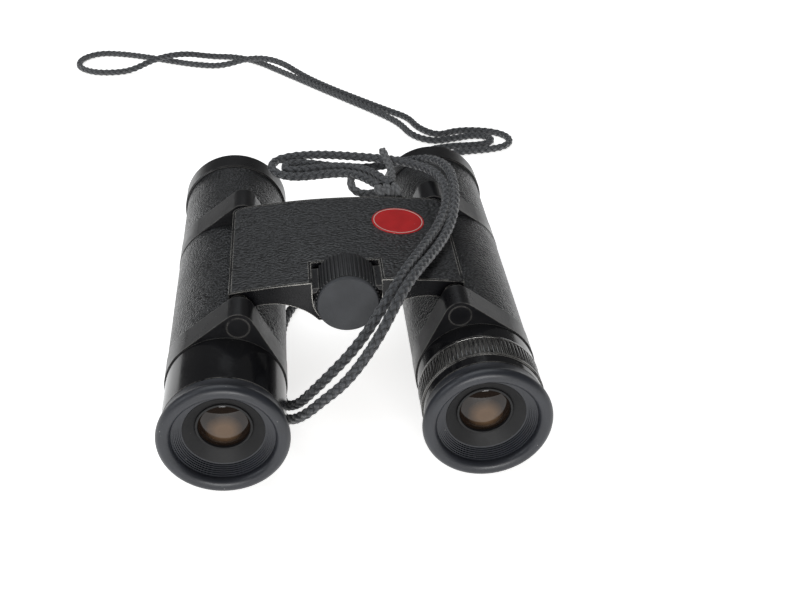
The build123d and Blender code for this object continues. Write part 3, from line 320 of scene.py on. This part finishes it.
# %% Pebbled leather: rounded grains with fine creases between them
pebble, given, result = new_group(
    "pebble_grain", [("Vector", "Vector", None), ("Grain", "Float", 1100.0)], [("Height", "Float")],
)
warp = add_node(pebble, "TexNoise", Vector=given["Vector"], Scale=800.0, Detail=2.0)
shifted = add_node(pebble, "VectorMath", {"operation": "MULTIPLY_ADD"})
put(warp.outputs["Color"], shifted.inputs[0])
put((0.0006, 0.0006, 0.0006), shifted.inputs[1])
put(given["Vector"], shifted.inputs[2])
cells = add_node(
    pebble, "TexVoronoi", {"feature": "SMOOTH_F1"}, Vector=shifted.outputs[0], Scale=given["Grain"],
    Smoothness=0.35,
)
fine = noise(pebble, given["Vector"], 4200.0)
domes = remap(pebble, cells.outputs["Distance"], 0.15, 0.75, 1.0, 0.0)
put(math_node(pebble, "ADD", domes, math_node(pebble, "MULTIPLY", fine, 0.18)), result["Height"])

# %% Dust: a few pale specks that lie on every matt surface
dust, given, result = new_group(
    "dust_specks", [("Vector", "Vector", None), ("Amount", "Float", 0.5)], [("Mask", "Float")],
)
specks = add_node(dust, "TexVoronoi", Vector=given["Vector"], Scale=620.0)
rare = noise(dust, given["Vector"], 900.0, 1.0)
near = remap(dust, specks.outputs["Distance"], 0.05, 0.09, 1.0, 0.0)
some = remap(dust, rare, 0.62, 0.66)
put(math_node(dust, "MULTIPLY", math_node(dust, "MULTIPLY", near, some), given["Amount"]), result["Mask"])

# %% Edge wear: bare metal where a rounded copy of the surface turns away from the sharp one
wear, given, result = new_group(
    "edge_wear", [("Vector", "Vector", None), ("Width", "Float", 0.0002), ("Amount", "Float", 0.6)],
    [("Mask", "Float")],
)
rounded = add_node(wear, "Bevel", {"samples": 6}, Radius=given["Width"])
flat = wear.nodes.new("ShaderNodeNewGeometry")
turn = add_node(wear, "VectorMath", {"operation": "DOT_PRODUCT"})
put(rounded.outputs["Normal"], turn.inputs[0])
put(flat.outputs["Normal"], turn.inputs[1])
edge = remap(wear, turn.outputs["Value"], 0.992, 0.93)
patchy = remap(wear, noise(wear, given["Vector"], 260.0, 4.0, 0.7), 0.34, 0.50)
put(math_node(wear, "MULTIPLY", math_node(wear, "MULTIPLY", edge, patchy), given["Amount"]), result["Mask"])

# %% Handling: slow smudges that make gloss uneven
smudge, given, result = new_group(
    "smudges", [("Vector", "Vector", None), ("Roughness", "Float", 0.4), ("Spread", "Float", 0.1)],
    [("Roughness", "Float")],
)
cloud = remap(smudge, noise(smudge, given["Vector"], 95.0, 5.0, 0.65), 0.3, 0.7, -1.0, 1.0)
fine = remap(smudge, noise(smudge, given["Vector"], 1400.0, 2.0), 0.3, 0.7, -0.3, 0.3)
both = math_node(smudge, "MULTIPLY", math_node(smudge, "ADD", cloud, fine), given["Spread"])
put(math_node(smudge, "ADD", both, given["Roughness"]), result["Roughness"])
print("groups:", [group.name for group in bpy.data.node_groups])

# %% [markdown]
# ## Finishes
#
# Every finish starts from the same two nodes, coordinates and the Principled shader, and most add a
# Bump. A short function sets up the first two, and each finish adds only what makes it different.
# Values that are the same everywhere are set on the shader's own sockets.

# %% Common parts of a finish
def start_material(name, colour, roughness, specular=0.5, coat=0.0, coat_roughness=0.1):
    made = bpy.data.materials.new(name)
    made.use_nodes = True
    tree = made.node_tree
    shader = tree.nodes["Principled BSDF"]
    shader.inputs["Base Color"].default_value = (*colour, 1)
    shader.inputs["Roughness"].default_value = roughness
    shader.inputs["Specular IOR Level"].default_value = specular
    shader.inputs["Coat Weight"].default_value = coat
    shader.inputs["Coat Roughness"].default_value = coat_roughness
    place = tree.nodes.new("ShaderNodeTexCoord").outputs["Object"]
    return made, tree, shader, place


def group_node(tree, group, **sockets):
    node = tree.nodes.new("ShaderNodeGroup")
    node.node_tree = group
    for label, value in sockets.items():
        put(value, node.inputs[label])
    return node.outputs[0]


def bump(tree, shader, height, distance, strength=1.0):
    node = add_node(tree, "Bump", Height=height, Distance=distance, Strength=strength)
    put(node.outputs["Normal"], shader.inputs["Normal"])
    return node


def tint(tree, shader, mask, under, over, socket="Base Color"):
    """Mixes two colours by a mask into the shader's colour."""
    mix = tree.nodes.new("ShaderNodeMix")
    mix.data_type = "RGBA"
    put(mask, mix.inputs[0])
    put(under if isinstance(under, bpy.types.NodeSocket) else (*under, 1), mix.inputs[6])
    put((*over, 1), mix.inputs[7])
    put(mix.outputs[2], shader.inputs[socket])
    return mix.outputs[2]


DUST = (0.42, 0.41, 0.39)
BARE_METAL = (0.62, 0.60, 0.56)


def leather(name, grain, depth, stretch=1.0):
    """Black pebbled leather, its grains drawn out along X by the stretch."""
    made, tree, shader, place = start_material(name, (0.012, 0.012, 0.013), 0.42, 0.5)
    pulled = add_node(tree, "VectorMath", {"operation": "MULTIPLY"})
    put(place, pulled.inputs[0])
    put((1.0 / stretch, 1.0, 1.0), pulled.inputs[1])
    height = group_node(tree, pebble, Vector=pulled.outputs[0], Grain=grain)
    # Painted shade: the colour darkens into the creases between the grains and is lighter on the grain tops.
    crease_shaded = tint(tree, shader, remap(tree, height, 0.3, 1.1), (0.003, 0.003, 0.0035), (0.020, 0.021, 0.023))
    tint(tree, shader, group_node(tree, dust, Vector=place, Amount=0.6), crease_shaded, DUST)
    put(group_node(tree, smudge, Vector=place, Roughness=0.34, Spread=0.07), shader.inputs["Roughness"])
    bump(tree, shader, height, depth)
    return made


def enamel(name, colour, roughness, worn, grain=0.02):
    """Black enamel on metal, with bare edges where it has been handled."""
    made, tree, shader, place = start_material(name, colour, roughness, 0.34)
    mask = group_node(tree, wear, Vector=place, Width=0.00036, Amount=worn)
    painted = tint(tree, shader, mask, colour, BARE_METAL)
    tint(tree, shader, group_node(tree, dust, Vector=place, Amount=0.35), painted, DUST)
    put(mask, shader.inputs["Metallic"])
    put(group_node(tree, smudge, Vector=place, Roughness=roughness, Spread=0.08), shader.inputs["Roughness"])
    bump(tree, shader, noise(tree, place, 2600.0, 2.0), grain * MM)
    return made


def moulded(name, colour, roughness, grain, specular=0.45, dusty=0.6):
    """Moulded rubber or plastic: a fine even texture and a little dust."""
    made, tree, shader, place = start_material(name, colour, roughness, specular)
    shade = remap(tree, noise(tree, place, 160.0), 0.3, 0.7)
    lighter = tuple(1.35 * channel for channel in colour)
    base = tint(tree, shader, shade, colour, lighter)
    tint(tree, shader, group_node(tree, dust, Vector=place, Amount=dusty), base, DUST)
    put(group_node(tree, smudge, Vector=place, Roughness=roughness, Spread=0.06), shader.inputs["Roughness"])
    bump(tree, shader, noise(tree, place, 3200.0, 2.0), grain * MM)
    return made


# %% The finishes of this object
barrel_hide = leather("barrel_leather", 1700.0, 0.17 * MM)
bridge_hide = leather("bridge_leather", 2300.0, 0.12 * MM, 2.2)
satin_black = enamel("satin_black_metal", (0.004, 0.004, 0.005), 0.33, 0.18)
worn_black = enamel("worn_black_metal", (0.004, 0.004, 0.005), 0.28, 1.0)
gloss_black = enamel("gloss_black_metal", (0.006, 0.006, 0.007), 0.14, 0.35, 0.004)
eyecup_rubber = moulded("eyecup_rubber", (0.013, 0.0145, 0.019), 0.40, 0.015, 0.55)
wheel_rubber = moulded("wheel_rubber", (0.014, 0.014, 0.015), 0.5, 0.02)
disc_plastic = moulded("wheel_disc", (0.036, 0.038, 0.042), 0.55, 0.025, dusty=0.8)
inner_black = moulded("inner_black", (0.004, 0.004, 0.0045), 0.6, 0.01, dusty=0.1)
bare_steel, tree, shader, place = start_material("bare_steel", (0.42, 0.42, 0.43), 0.3)
shader.inputs["Metallic"].default_value = 1.0
put(group_node(tree, smudge, Vector=place, Roughness=0.3, Spread=0.1), shader.inputs["Roughness"])
bump(tree, shader, noise(tree, place, 2200.0), 0.004 * MM)
print("finishes so far:", len(bpy.data.materials))

# %% [markdown]
# ## Glass
#
# A coated lens shows three things: what lies behind it, dark brown here, a faint tinted reflection
# from its coating, and a sharp bright highlight. Real refraction through seven elements would need
# many light bounces and show only the dark inside, so the visible lenses are dark glass with a warm
# reflection of the optics inside painted into their colour near the axis, under a clear, sharp coat.

# %% Coated eye lenses and objective lenses
GLOW_DROP = 0.5                 # the warm spot's centre, below the barrel's axis


def coated_glass(name, middle, rim, radius, coat_tint):
    """Dark glass with a painted warm reflection near the barrel's axis, under a sharp tinted coat; the radius
    is in mm.
    """
    made, tree, shader, place = start_material(name, middle, 0.2, 0.0, 0.9, 0.015)
    shader.inputs["Coat Tint"].default_value = (*coat_tint, 1)
    along = add_node(tree, "SeparateXYZ", Vector=place).outputs
    sideways = math_node(tree, "SUBTRACT", math_node(tree, "ABSOLUTE", along["X"]), BARREL_X["right"] * MM)
    upwards = math_node(tree, "SUBTRACT", along["Z"], (BARREL_Z - GLOW_DROP) * MM)
    off_axis = math_node(tree, "SQRT", math_node(
        tree, "ADD", math_node(tree, "POWER", math_node(tree, "ABSOLUTE", sideways), 2.0),
        math_node(tree, "POWER", math_node(tree, "ABSOLUTE", upwards), 2.0),
    ))
    ripple = math_node(tree, "MULTIPLY", noise(tree, place, 300.0), 0.8 * MM)
    rippled_off_axis = math_node(tree, "ADD", off_axis, ripple)
    # Painted reflection: the middle colour near the axis stands for light seen back from the coated optics
    # inside, fading to the dark rim colour.
    tint(tree, shader, remap(tree, rippled_off_axis, 0.35 * radius * MM, 0.75 * radius * MM), middle, rim)
    return made


AMBER_REFLECTION = (0.105, 0.068, 0.042)
AMBER_RIM = (0.012, 0.008, 0.006)
PLUM_REFLECTION = (0.020, 0.009, 0.018)
PLUM_RIM = (0.003, 0.002, 0.004)
eye_glass = coated_glass("eye_glass", AMBER_REFLECTION, AMBER_RIM, 6.2, (1.0, 0.93, 0.84))
front_glass = coated_glass("front_glass", PLUM_REFLECTION, PLUM_RIM, 11.0, (0.80, 0.66, 0.95))

# %% The badge's enamel and the cord's yarn
badge_red, tree, shader, place = start_material("badge_red", (0.50, 0.008, 0.010), 0.3, 0.3, 0.25, 0.08)
depth_mask = remap(tree, noise(tree, place, 220.0, 4.0), 0.35, 0.65)
base = tint(tree, shader, depth_mask, (0.44, 0.006, 0.008), (0.56, 0.011, 0.013))
tint(tree, shader, group_node(tree, dust, Vector=place, Amount=0.5), base, DUST)
bump(tree, shader, noise(tree, place, 700.0), 0.01 * MM)

badge_pale, tree, shader, place = start_material("badge_outline", (0.62, 0.56, 0.50), 0.3, 0.5, 0.5, 0.06)
put(group_node(tree, smudge, Vector=place, Roughness=0.3, Spread=0.1), shader.inputs["Roughness"])
bump(tree, shader, noise(tree, place, 900.0), 0.005 * MM)


def yarn_pattern(tree):
    """The braid's height drawn from the tube's UV map, one wave for each family of yarns."""
    uv = add_node(tree, "SeparateXYZ", Vector=tree.nodes.new("ShaderNodeTexCoord").outputs["UV"])
    around = math_node(tree, "MULTIPLY", uv.outputs["X"], float(YARNS))
    right_hand = math_node(tree, "ADD", around, uv.outputs["Y"])
    left_hand = math_node(tree, "SUBTRACT", around, uv.outputs["Y"])
    floors = math_node(tree, "ADD", math_node(tree, "FLOOR", right_hand), math_node(tree, "FLOOR", left_hand))
    over = math_node(tree, "FLOORED_MODULO", floors, 2.0)
    sides = []
    for value in (right_hand, left_hand):
        across = math_node(tree, "PINGPONG", value, 0.5)
        sides.append(math_node(tree, "MULTIPLY", across, 2.0))
    choose = tree.nodes.new("ShaderNodeMix")
    put(over, choose.inputs[0])
    put(sides[1], choose.inputs[2])
    put(sides[0], choose.inputs[3])
    return math_node(tree, "POWER", choose.outputs[0], 0.5), right_hand


def braid(name, groove, crown):
    """Braided yarn with painted shade in its grooves, a painted highlight on its crowns, and fine threads and
    fuzz.
    """
    made, tree, shader, place = start_material(name, crown, 0.48, 0.45)
    shader.inputs["Sheen Weight"].default_value = 0.35
    shader.inputs["Sheen Roughness"].default_value = 0.4
    height, right_hand = yarn_pattern(tree)
    threads = math_node(tree, "SINE", math_node(tree, "MULTIPLY", right_hand, 44.0))
    fuzz = noise(tree, place, 3600.0, 3.0)
    relief = math_node(tree, "ADD", height, math_node(tree, "MULTIPLY", threads, 0.06))
    relief = math_node(tree, "ADD", relief, math_node(tree, "MULTIPLY", fuzz, 0.25))
    # Painted shade and highlight: near black down in the grooves between yarns, lighter up on each yarn's
    # crown.
    base = tint(tree, shader, remap(tree, relief, 0.35, 1.15), groove, crown)
    tint(tree, shader, group_node(tree, dust, Vector=place, Amount=0.5), base, DUST)
    bump(tree, shader, relief, 0.34 * MM)
    return made


braid_black = braid("braid_yarn", (0.0015, 0.0015, 0.002), (0.066, 0.070, 0.077))
braid_grey = braid("braid_yarn_dusty", (0.030, 0.031, 0.033), (0.150, 0.152, 0.156))
neck_cord.data.materials.append(braid_black)

# %% [markdown]
# ## Turned pieces
#
# Eyecups, rings and wheels are all turned about a line that runs along the barrels. Each one is
# drawn as a closed outline of radius and length, and `spin` sweeps the outline round. Merging the
# first and last copies of the outline closes the seam, and only then are the normals recalculated.

# %% Outlines and the lathe
EYEPIECE_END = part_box("left_eyecup")[0][1] / MM
LATHE_STEPS = 160
LENS_BODY = {"left": "left_barrel", "right": "right_diopter_cell"}


def arc(centre, radius, start, end, steps=8):
    """Points on an arc in an outline, from one angle to another, in degrees."""
    turns = [math.radians(start + (end - start) * step / steps) for step in range(steps + 1)]
    return [(centre[0] + radius * math.cos(turn), centre[1] + radius * math.sin(turn)) for turn in turns]


def lathe(bm, outline, x, z, steps=LATHE_STEPS):
    """Spins a closed outline of (radius, y), in mm, about the line along Y through (x, z)."""
    corners = [bm.verts.new(Vector((x + radius, y, z)) * MM) for radius, y in outline]
    edges = [bm.edges.new((a, b)) for a, b in zip(corners, corners[1:] + corners[:1])]
    bmesh.ops.spin(
        bm, geom=corners + edges, cent=Vector((x, 0, z)) * MM, axis=(0, 1, 0), angle=math.tau,
        steps=steps, use_merge=True, use_duplicate=False,
    )


def piece_from(bm, name, material, body, node=None, sharp=35.0):
    """Closes a bmesh into a finished piece: cleaned, shaded, dressed and riding on its body."""
    bmesh.ops.remove_doubles(bm, verts=bm.verts, dist=0.0005 * MM)
    bmesh.ops.recalc_face_normals(bm, faces=bm.faces)
    for face in bm.faces:
        face.smooth = True
    for edge in bm.edges:
        if len(edge.link_faces) == 2 and edge.calc_face_angle() > math.radians(sharp):
            edge.smooth = False
    mesh = bpy.data.meshes.new(name)
    bm.to_mesh(mesh)
    bm.free()
    piece = bpy.data.objects.new(name, mesh)
    piece.data.materials.append(material)
    bpy.context.scene.collection.objects.link(piece)
    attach(piece, body)
    if node:
        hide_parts(node)
    return piece


# %% [markdown]
# ## Eyecups
#
# Each eyecup is one moulding of soft rubber: a fat rolled rim that rests on the brow, a cone inside
# it cut into fine steps that stop stray light, and a sleeve that slides over the eyepiece. The steps
# are real geometry, because they show as separate dark and bright lines.

# %% Two eyecups with stepped cones
RIM_BEAD = 1.6                  # the rolled rim's radius, all in mm
RIM_MIDDLE = 13.0
SHOULDER = 13.75
SHOULDER_END = EYEPIECE_END + 5.38
SLEEVE_OUTSIDE = 10.5
SLEEVE_BORE = 9.06
SLEEVE_END = EYEPIECE_END + 13.2
CONE_STEPS = 7
CONE_WIDE = 11.35
CONE_NARROW = 9.12
CONE_DEPTH = 2.25

bead_y = EYEPIECE_END + RIM_BEAD
cone = []
for step in range(CONE_STEPS):
    share = step / CONE_STEPS
    radius = CONE_WIDE + (CONE_NARROW - CONE_WIDE) * share
    y = bead_y + 0.12 + CONE_DEPTH * share
    cone += [(radius, y), (radius, y + CONE_DEPTH / CONE_STEPS)]
eyecup_outline = (
    arc((RIM_MIDDLE, bead_y), RIM_BEAD, 172, 395, 22)
    + [(SHOULDER + 0.27, bead_y + 1.35), (SHOULDER, bead_y + 1.9)]
    + [(SHOULDER, SHOULDER_END - 0.2), (SHOULDER - 0.2, SHOULDER_END)]
    + [(SLEEVE_OUTSIDE, SHOULDER_END), (SLEEVE_OUTSIDE, SLEEVE_END), (SLEEVE_BORE, SLEEVE_END)]
    + [(SLEEVE_BORE, bead_y + CONE_DEPTH + 0.2)]
    + list(reversed(cone))
)
for side, x in BARREL_X.items():
    bm = bmesh.new()
    lathe(bm, eyecup_outline, x, BARREL_Z)
    node = f"{side}_eyecup"
    cup = piece_from(bm, f"{node}_rubber", eyecup_rubber, node, node, 28.0)
print("eyecup:", len(cup.data.polygons), "faces, rim", 2 * (RIM_MIDDLE + RIM_BEAD), "mm across")

# %% Domed eye lenses
LENS_SEAT = EYEPIECE_END + 6.3
LENS_RADIUS = 6.2
LENS_BULGE = 1.7
LENS_EDGE = 1.2
LENS_POLE = 0.004               # a pinhole on the axis, so that no face there has zero size
DOME_STEPS = 18
lens_curve = (LENS_RADIUS ** 2 + LENS_BULGE ** 2) / (2 * LENS_BULGE)
rim_slope = math.asin(LENS_RADIUS / lens_curve)
dome = []
for step in range(DOME_STEPS + 1):
    slope = rim_slope * step / DOME_STEPS
    y = LENS_SEAT - LENS_BULGE + lens_curve * (1 - math.cos(slope))
    dome.append((max(lens_curve * math.sin(slope), LENS_POLE), y))
for side, x in BARREL_X.items():
    bm = bmesh.new()
    back = LENS_SEAT + LENS_EDGE
    lathe(bm, dome + [(LENS_RADIUS, back), (LENS_POLE, back)], x, BARREL_Z, 96)
    piece_from(bm, f"{side}_eye_glass", eye_glass, LENS_BODY[side], f"{side}_eye_lens", 50.0)

# %% [markdown]
# ## Ribbed grips
#
# The dioptre ring and the focus wheel are gripped by rows of small ribs. One rib is a cube with its
# edges bevelled. `spin` with `use_duplicate` copies it round the ring, so that dozens of ribs cost
# one line. Their feet are sunk a little into the turned core, so that no gap opens under them.

# %% One rib, copied round a ring
def ribs(bm, x, z, radius, rear, front, width, height, count, rounding=0.3):
    """A row of bevelled ribs along Y, standing on a circle of the given radius, all in mm."""
    made = bmesh.ops.create_cube(bm, size=1.0)["verts"]
    bmesh.ops.scale(bm, verts=made, vec=Vector((width, front - rear, height)) * MM)
    edges = [edge for edge in bm.edges if all(vert in made for vert in edge.verts)]
    top = [edge for edge in edges if any(vert.co.z > 0 for vert in edge.verts)]
    shaped = bmesh.ops.bevel(
        bm, geom=top, offset=min(width, height) * rounding * MM, segments=2, profile=0.5, affect="EDGES",
        material=-1,
    )
    rib = list({vert for face in shaped["faces"] for vert in face.verts} | {v for v in made if v.is_valid})
    faces = list({face for vert in rib for face in vert.link_faces})
    middle = Vector((x, (rear + front) / 2, z + radius)) * MM
    bmesh.ops.translate(bm, verts=rib, vec=middle)
    bmesh.ops.spin(
        bm, geom=rib + faces, cent=Vector((x, 0, z)) * MM, axis=(0, 1, 0),
        angle=math.tau * (count - 1) / count, steps=count - 1, use_duplicate=True,
    )


# %% The dioptre ring
RING_REAR = SHOULDER_END + 0.06
RING_FRONT = -41.2
GRIP_REAR = -47.7
GRIP_FRONT = -42.0
RING_RADIUS = 14.05
RING_NECK = 13.7
RING_BORE = 12.45
GRIP_CORE = 13.5
RIB_END = 0.12                  # from a rib to the ring's collar
DIOPTER_RIBS = 84

bm = bmesh.new()
lathe(bm, [
    (RING_BORE, RING_REAR), (RING_NECK - 0.15, RING_REAR), (RING_NECK, RING_REAR + 0.15),
    (RING_NECK, GRIP_REAR - 0.5),
    (RING_RADIUS, GRIP_REAR - 0.35), (RING_RADIUS, GRIP_REAR - 0.05), (RING_RADIUS - 0.08, GRIP_REAR),
    (GRIP_CORE, GRIP_REAR + 0.02), (GRIP_CORE, GRIP_FRONT - 0.02), (RING_RADIUS - 0.08, GRIP_FRONT),
    (RING_RADIUS, GRIP_FRONT + 0.05), (RING_RADIUS, RING_FRONT - 0.25), (RING_RADIUS - 0.2, RING_FRONT),
    (RING_BORE, RING_FRONT),
], BARREL_X["right"], BARREL_Z)
ribs(
    bm, BARREL_X["right"], BARREL_Z, GRIP_CORE + 0.18, GRIP_REAR + RIB_END, GRIP_FRONT - RIB_END, 0.62, 0.66,
    DIOPTER_RIBS, 0.34,
)
diopter = piece_from(
    bm, "right_diopter_grip", gloss_black, "right_diopter_ring", "right_diopter_ring", 40.0,
)
print("dioptre ring:", len(diopter.data.polygons), "faces")

# %% The focus wheel
WHEEL_Z = 30.8
WHEEL_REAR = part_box("focus_wheel")[0][1] / MM
WHEEL_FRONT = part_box("focus_wheel")[1][1] / MM
WHEEL_CORE = 7.2
WHEEL_BORE = 1.65
WHEEL_RIBS = 46

bm = bmesh.new()
lathe(bm, [
    (WHEEL_BORE, WHEEL_REAR + 0.1), (WHEEL_CORE - 0.2, WHEEL_REAR + 0.1), (WHEEL_CORE, WHEEL_REAR + 0.3),
    (WHEEL_CORE, WHEEL_FRONT - 0.3), (WHEEL_CORE - 0.3, WHEEL_FRONT), (WHEEL_BORE, WHEEL_FRONT),
], 0.0, WHEEL_Z)
ribs(bm, 0.0, WHEEL_Z, WHEEL_CORE + 0.07, WHEEL_REAR + 0.05, WHEEL_FRONT - 0.35, 0.62, 0.64, WHEEL_RIBS, 0.4)
wheel = piece_from(bm, "focus_wheel_rubber", wheel_rubber, "focus_wheel", "focus_wheel", 40.0)
print("focus wheel:", len(wheel.data.polygons), "faces")

# %% Cheeks that fill the bridge's notch beside the wheel, with outlines in X and Z
CHEEK = [(6.45, 35.3), (8.0, 35.22), (8.08, 35.1), (8.08, 34.0), (7.2, 34.0)]
BRIDGE_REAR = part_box("bridge_body")[0][1] / MM
bm = bmesh.new()
for side in (-1, 1):
    rings = [
        [bm.verts.new(Vector((side * x, y, z)) * MM) for x, z in CHEEK]
        for y in (BRIDGE_REAR + 0.05, BRIDGE_REAR + 0.2, BRIDGE_REAR + 8.3, BRIDGE_REAR + 8.5)
    ]
    for near, far in zip(rings, rings[1:]):
        for index in range(len(CHEEK)):
            after = (index + 1) % len(CHEEK)
            bm.faces.new((near[index], near[after], far[after], far[index]))
    bm.faces.new(rings[0])
    bm.faces.new(list(reversed(rings[-1])))
piece_from(bm, "notch_cheeks", satin_black, "bridge", None, 30.0)

# %% [markdown]
# ## The badge's outline
#
# The red enamel disc has a thin pale line just inside its edge. It is a flat ring laid in the
# enamel: a small outline swept round, then tilted to lie on the bridge's crown.

# %% A pale line round the badge
BRIDGE_WIDTH = 54.6
BRIDGE_TOP = 35.5
BRIDGE_CROWN = 2.0
CROWN_RADIUS = ((BRIDGE_WIDTH / 2) ** 2 + BRIDGE_CROWN ** 2) / (2 * BRIDGE_CROWN)
BADGE_X = 14.4
badge_low, badge_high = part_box("badge")
badge_y = (badge_low[1] + badge_high[1]) / 2 / MM
badge_tilt = math.asin(BADGE_X / CROWN_RADIUS)
badge_top = BRIDGE_TOP - CROWN_RADIUS * (1 - math.cos(badge_tilt))
bm = bmesh.new()
outline = [(5.98, 0.06), (6.16, 0.06), (6.18, 0.15), (6.0, 0.15)]
corners = [bm.verts.new(Vector((radius, 0, height)) * MM) for radius, height in outline]
edges = [bm.edges.new((a, b)) for a, b in zip(corners, corners[1:] + corners[:1])]
bmesh.ops.spin(
    bm, geom=corners + edges, cent=(0, 0, 0), axis=(0, 0, 1), angle=math.tau, steps=96, use_merge=True,
    use_duplicate=False,
)
tilt = Matrix.Rotation(badge_tilt, 4, "Y")
seat = Matrix.Translation(Vector((BADGE_X, badge_y, badge_top)) * MM)
bmesh.ops.transform(bm, matrix=seat @ tilt, verts=bm.verts)
piece_from(bm, "badge_outline", badge_pale, "bridge", None, 30.0)

# %% [markdown]
# ## The knot
#
# Both runs of the cord end in one knot at the wire eyelet. It is tied from the same braid, greyer
# with handling: a few tight turns round the runs, and two cut tails. The turns follow a short
# helix, because only its outside shows.

# %% Turns and cut tails of the knot
KNOT_X, KNOT_Y, KNOT_Z = 13.4, 19.6, 33.0
KNOT_TURNS = 2.4
KNOT_STEPS = 25
KNOT_WIDTH = 5.2
TAIL_DIAMETER = 0.92 * CORD_DIAMETER * MM
KNOT_RADIUS = 2.1
turns = []
for step in range(KNOT_STEPS + 1):
    share = step / KNOT_STEPS
    angle = math.tau * KNOT_TURNS * share + 0.6
    turns.append((
        KNOT_X + KNOT_WIDTH * (share - 0.5) + 0.3 * math.sin(3 * angle),
        KNOT_Y + KNOT_RADIUS * math.cos(angle) + 0.6 * (share - 0.5),
        KNOT_Z + 0.9 * KNOT_RADIUS * math.sin(angle),
    ))
knot = braided_tube("cord_knot_braid", read_line(nurbs_line("knot_line", turns)), CORD_DIAMETER * MM)
tails = {
    "long": [
        (14.2, 22.6, 33.4), (15.2, 27.0, 33.2), (15.6, 32.0, 33.4), (14.9, 37.0, 34.4), (13.8, 41.4, 35.4),
    ],
    "short": [
        (11.6, 22.0, 32.6), (8.6, 24.4, 30.6), (5.2, 26.6, 30.4), (3.8, 29.6, 31.6), (4.6, 32.2, 32.6),
    ],
}
ends = []
for name, points in tails.items():
    line = read_line(nurbs_line(f"tail_{name}", points))
    tail = braided_tube(f"cord_tail_{name}", line, TAIL_DIAMETER)
    ends.append(tail)
for piece in (knot, *ends):
    piece.data.materials.append(braid_grey)
    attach(piece, "bridge")
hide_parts("cord_knot")

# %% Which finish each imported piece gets
finishes = {
    "bridge_body": worn_black, "bridge_cover": satin_black, "cover_screws": bare_steel,
    "bridge_leather": bridge_hide, "badge": badge_red, "strap_eyelet": bare_steel,
    "guide_rods": bare_steel, "focus_wheel_cap": disc_plastic, "focus_spindle": bare_steel,
    "focus_yoke": bare_steel,
}
for side in ("left", "right"):
    for piece, finish in {
        "barrel_body": satin_black, "barrel_leather": barrel_hide, "front_leather": barrel_hide,
        "objective_ring": satin_black, "objective_lens": front_glass, "objective_cell": inner_black,
        "focus_slider": bare_steel, "focus_lens": front_glass, "prism_frame": inner_black,
        "prisms": front_glass, "ocular_tube": gloss_black, "ocular_cell": inner_black,
        "field_cell": inner_black, "field_lens": front_glass, "eye_lens_ring": inner_black,
        "hinge_pins": bare_steel,
        "pin_cap": satin_black, "hinge_washers": inner_black,
    }.items():
        finishes[f"{side}_{piece}"] = finish


def finish_piece(node, material):
    """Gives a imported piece's object its finish in every material slot."""
    thing = bpy.data.objects[node]
    for slot in thing.material_slots:
        slot.link = "OBJECT"
        slot.material = material


for node, material in finishes.items():
    finish_piece(node, material)
print("finished:", len(finishes), "packed pieces")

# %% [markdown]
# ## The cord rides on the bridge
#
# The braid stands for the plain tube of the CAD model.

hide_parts("neck_cord")
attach(neck_cord, "bridge")
PATH_STEP = 2 * MM
even_points(cord_line, PATH_STEP)[0]

# %% [markdown]
# ## Table and light
#
# The binoculars lie on a white table that glows a little, as an overlit table does, so that shadows
# stay faint and black surfaces get a pale edge. A broad lamp above and behind the far end gives the
# general tone, a smaller one on the left models the round parts, and a low strip behind the viewer
# draws the crescent on each eye lens.

# %% The floor
bpy.ops.mesh.primitive_plane_add(size=6.0, location=(0, 0, 0))
floor = bpy.context.object
floor.name = "table_top"
paper, tree, shader, place = start_material("table_white", (0.93, 0.925, 0.92), 0.55, 0.25)
put(group_node(tree, smudge, Vector=place, Roughness=0.55, Spread=0.02), shader.inputs["Roughness"])
shader.inputs["Emission Color"].default_value = (1.0, 0.995, 0.985, 1)
shader.inputs["Emission Strength"].default_value = 0.74
floor.data.materials.append(paper)


# %% The lamps and the sky
def lamp(name, place, target, size, power, colour=(1, 1, 1)):
    light = bpy.data.lights.new(name, "AREA")
    light.shape = "RECTANGLE"
    light.size, light.size_y = size
    light.energy = power
    light.color = colour
    lit = bpy.data.objects.new(name, light)
    lit.location = place
    lit.rotation_euler = (Vector(target) - Vector(place)).to_track_quat("-Z", "Y").to_euler()
    bpy.context.scene.collection.objects.link(lit)


lamp("overhead_softbox", (-0.15, 0.45, 1.0), (0, 0.05, 0), (1.0, 0.8), 5.0, (0.92, 0.96, 1.0))
lamp("left_softbox", (-0.9, -0.2, 0.6), (0, 0, 0), (0.5, 0.7), 2.5, (0.92, 0.96, 1.0))
lamp("window_strip", (0.0, -1.3, 0.46), (0, -0.05, 0.015), (0.8, 0.24), 11.0)

sky = bpy.data.worlds.new("studio")
sky.use_nodes = True
sky.node_tree.nodes["Background"].inputs["Color"].default_value = (1.0, 0.99, 0.975, 1)
sky.node_tree.nodes["Background"].inputs["Strength"].default_value = 0.12
bpy.context.scene.world = sky
bpy.context.scene.view_settings.view_transform = "Standard"
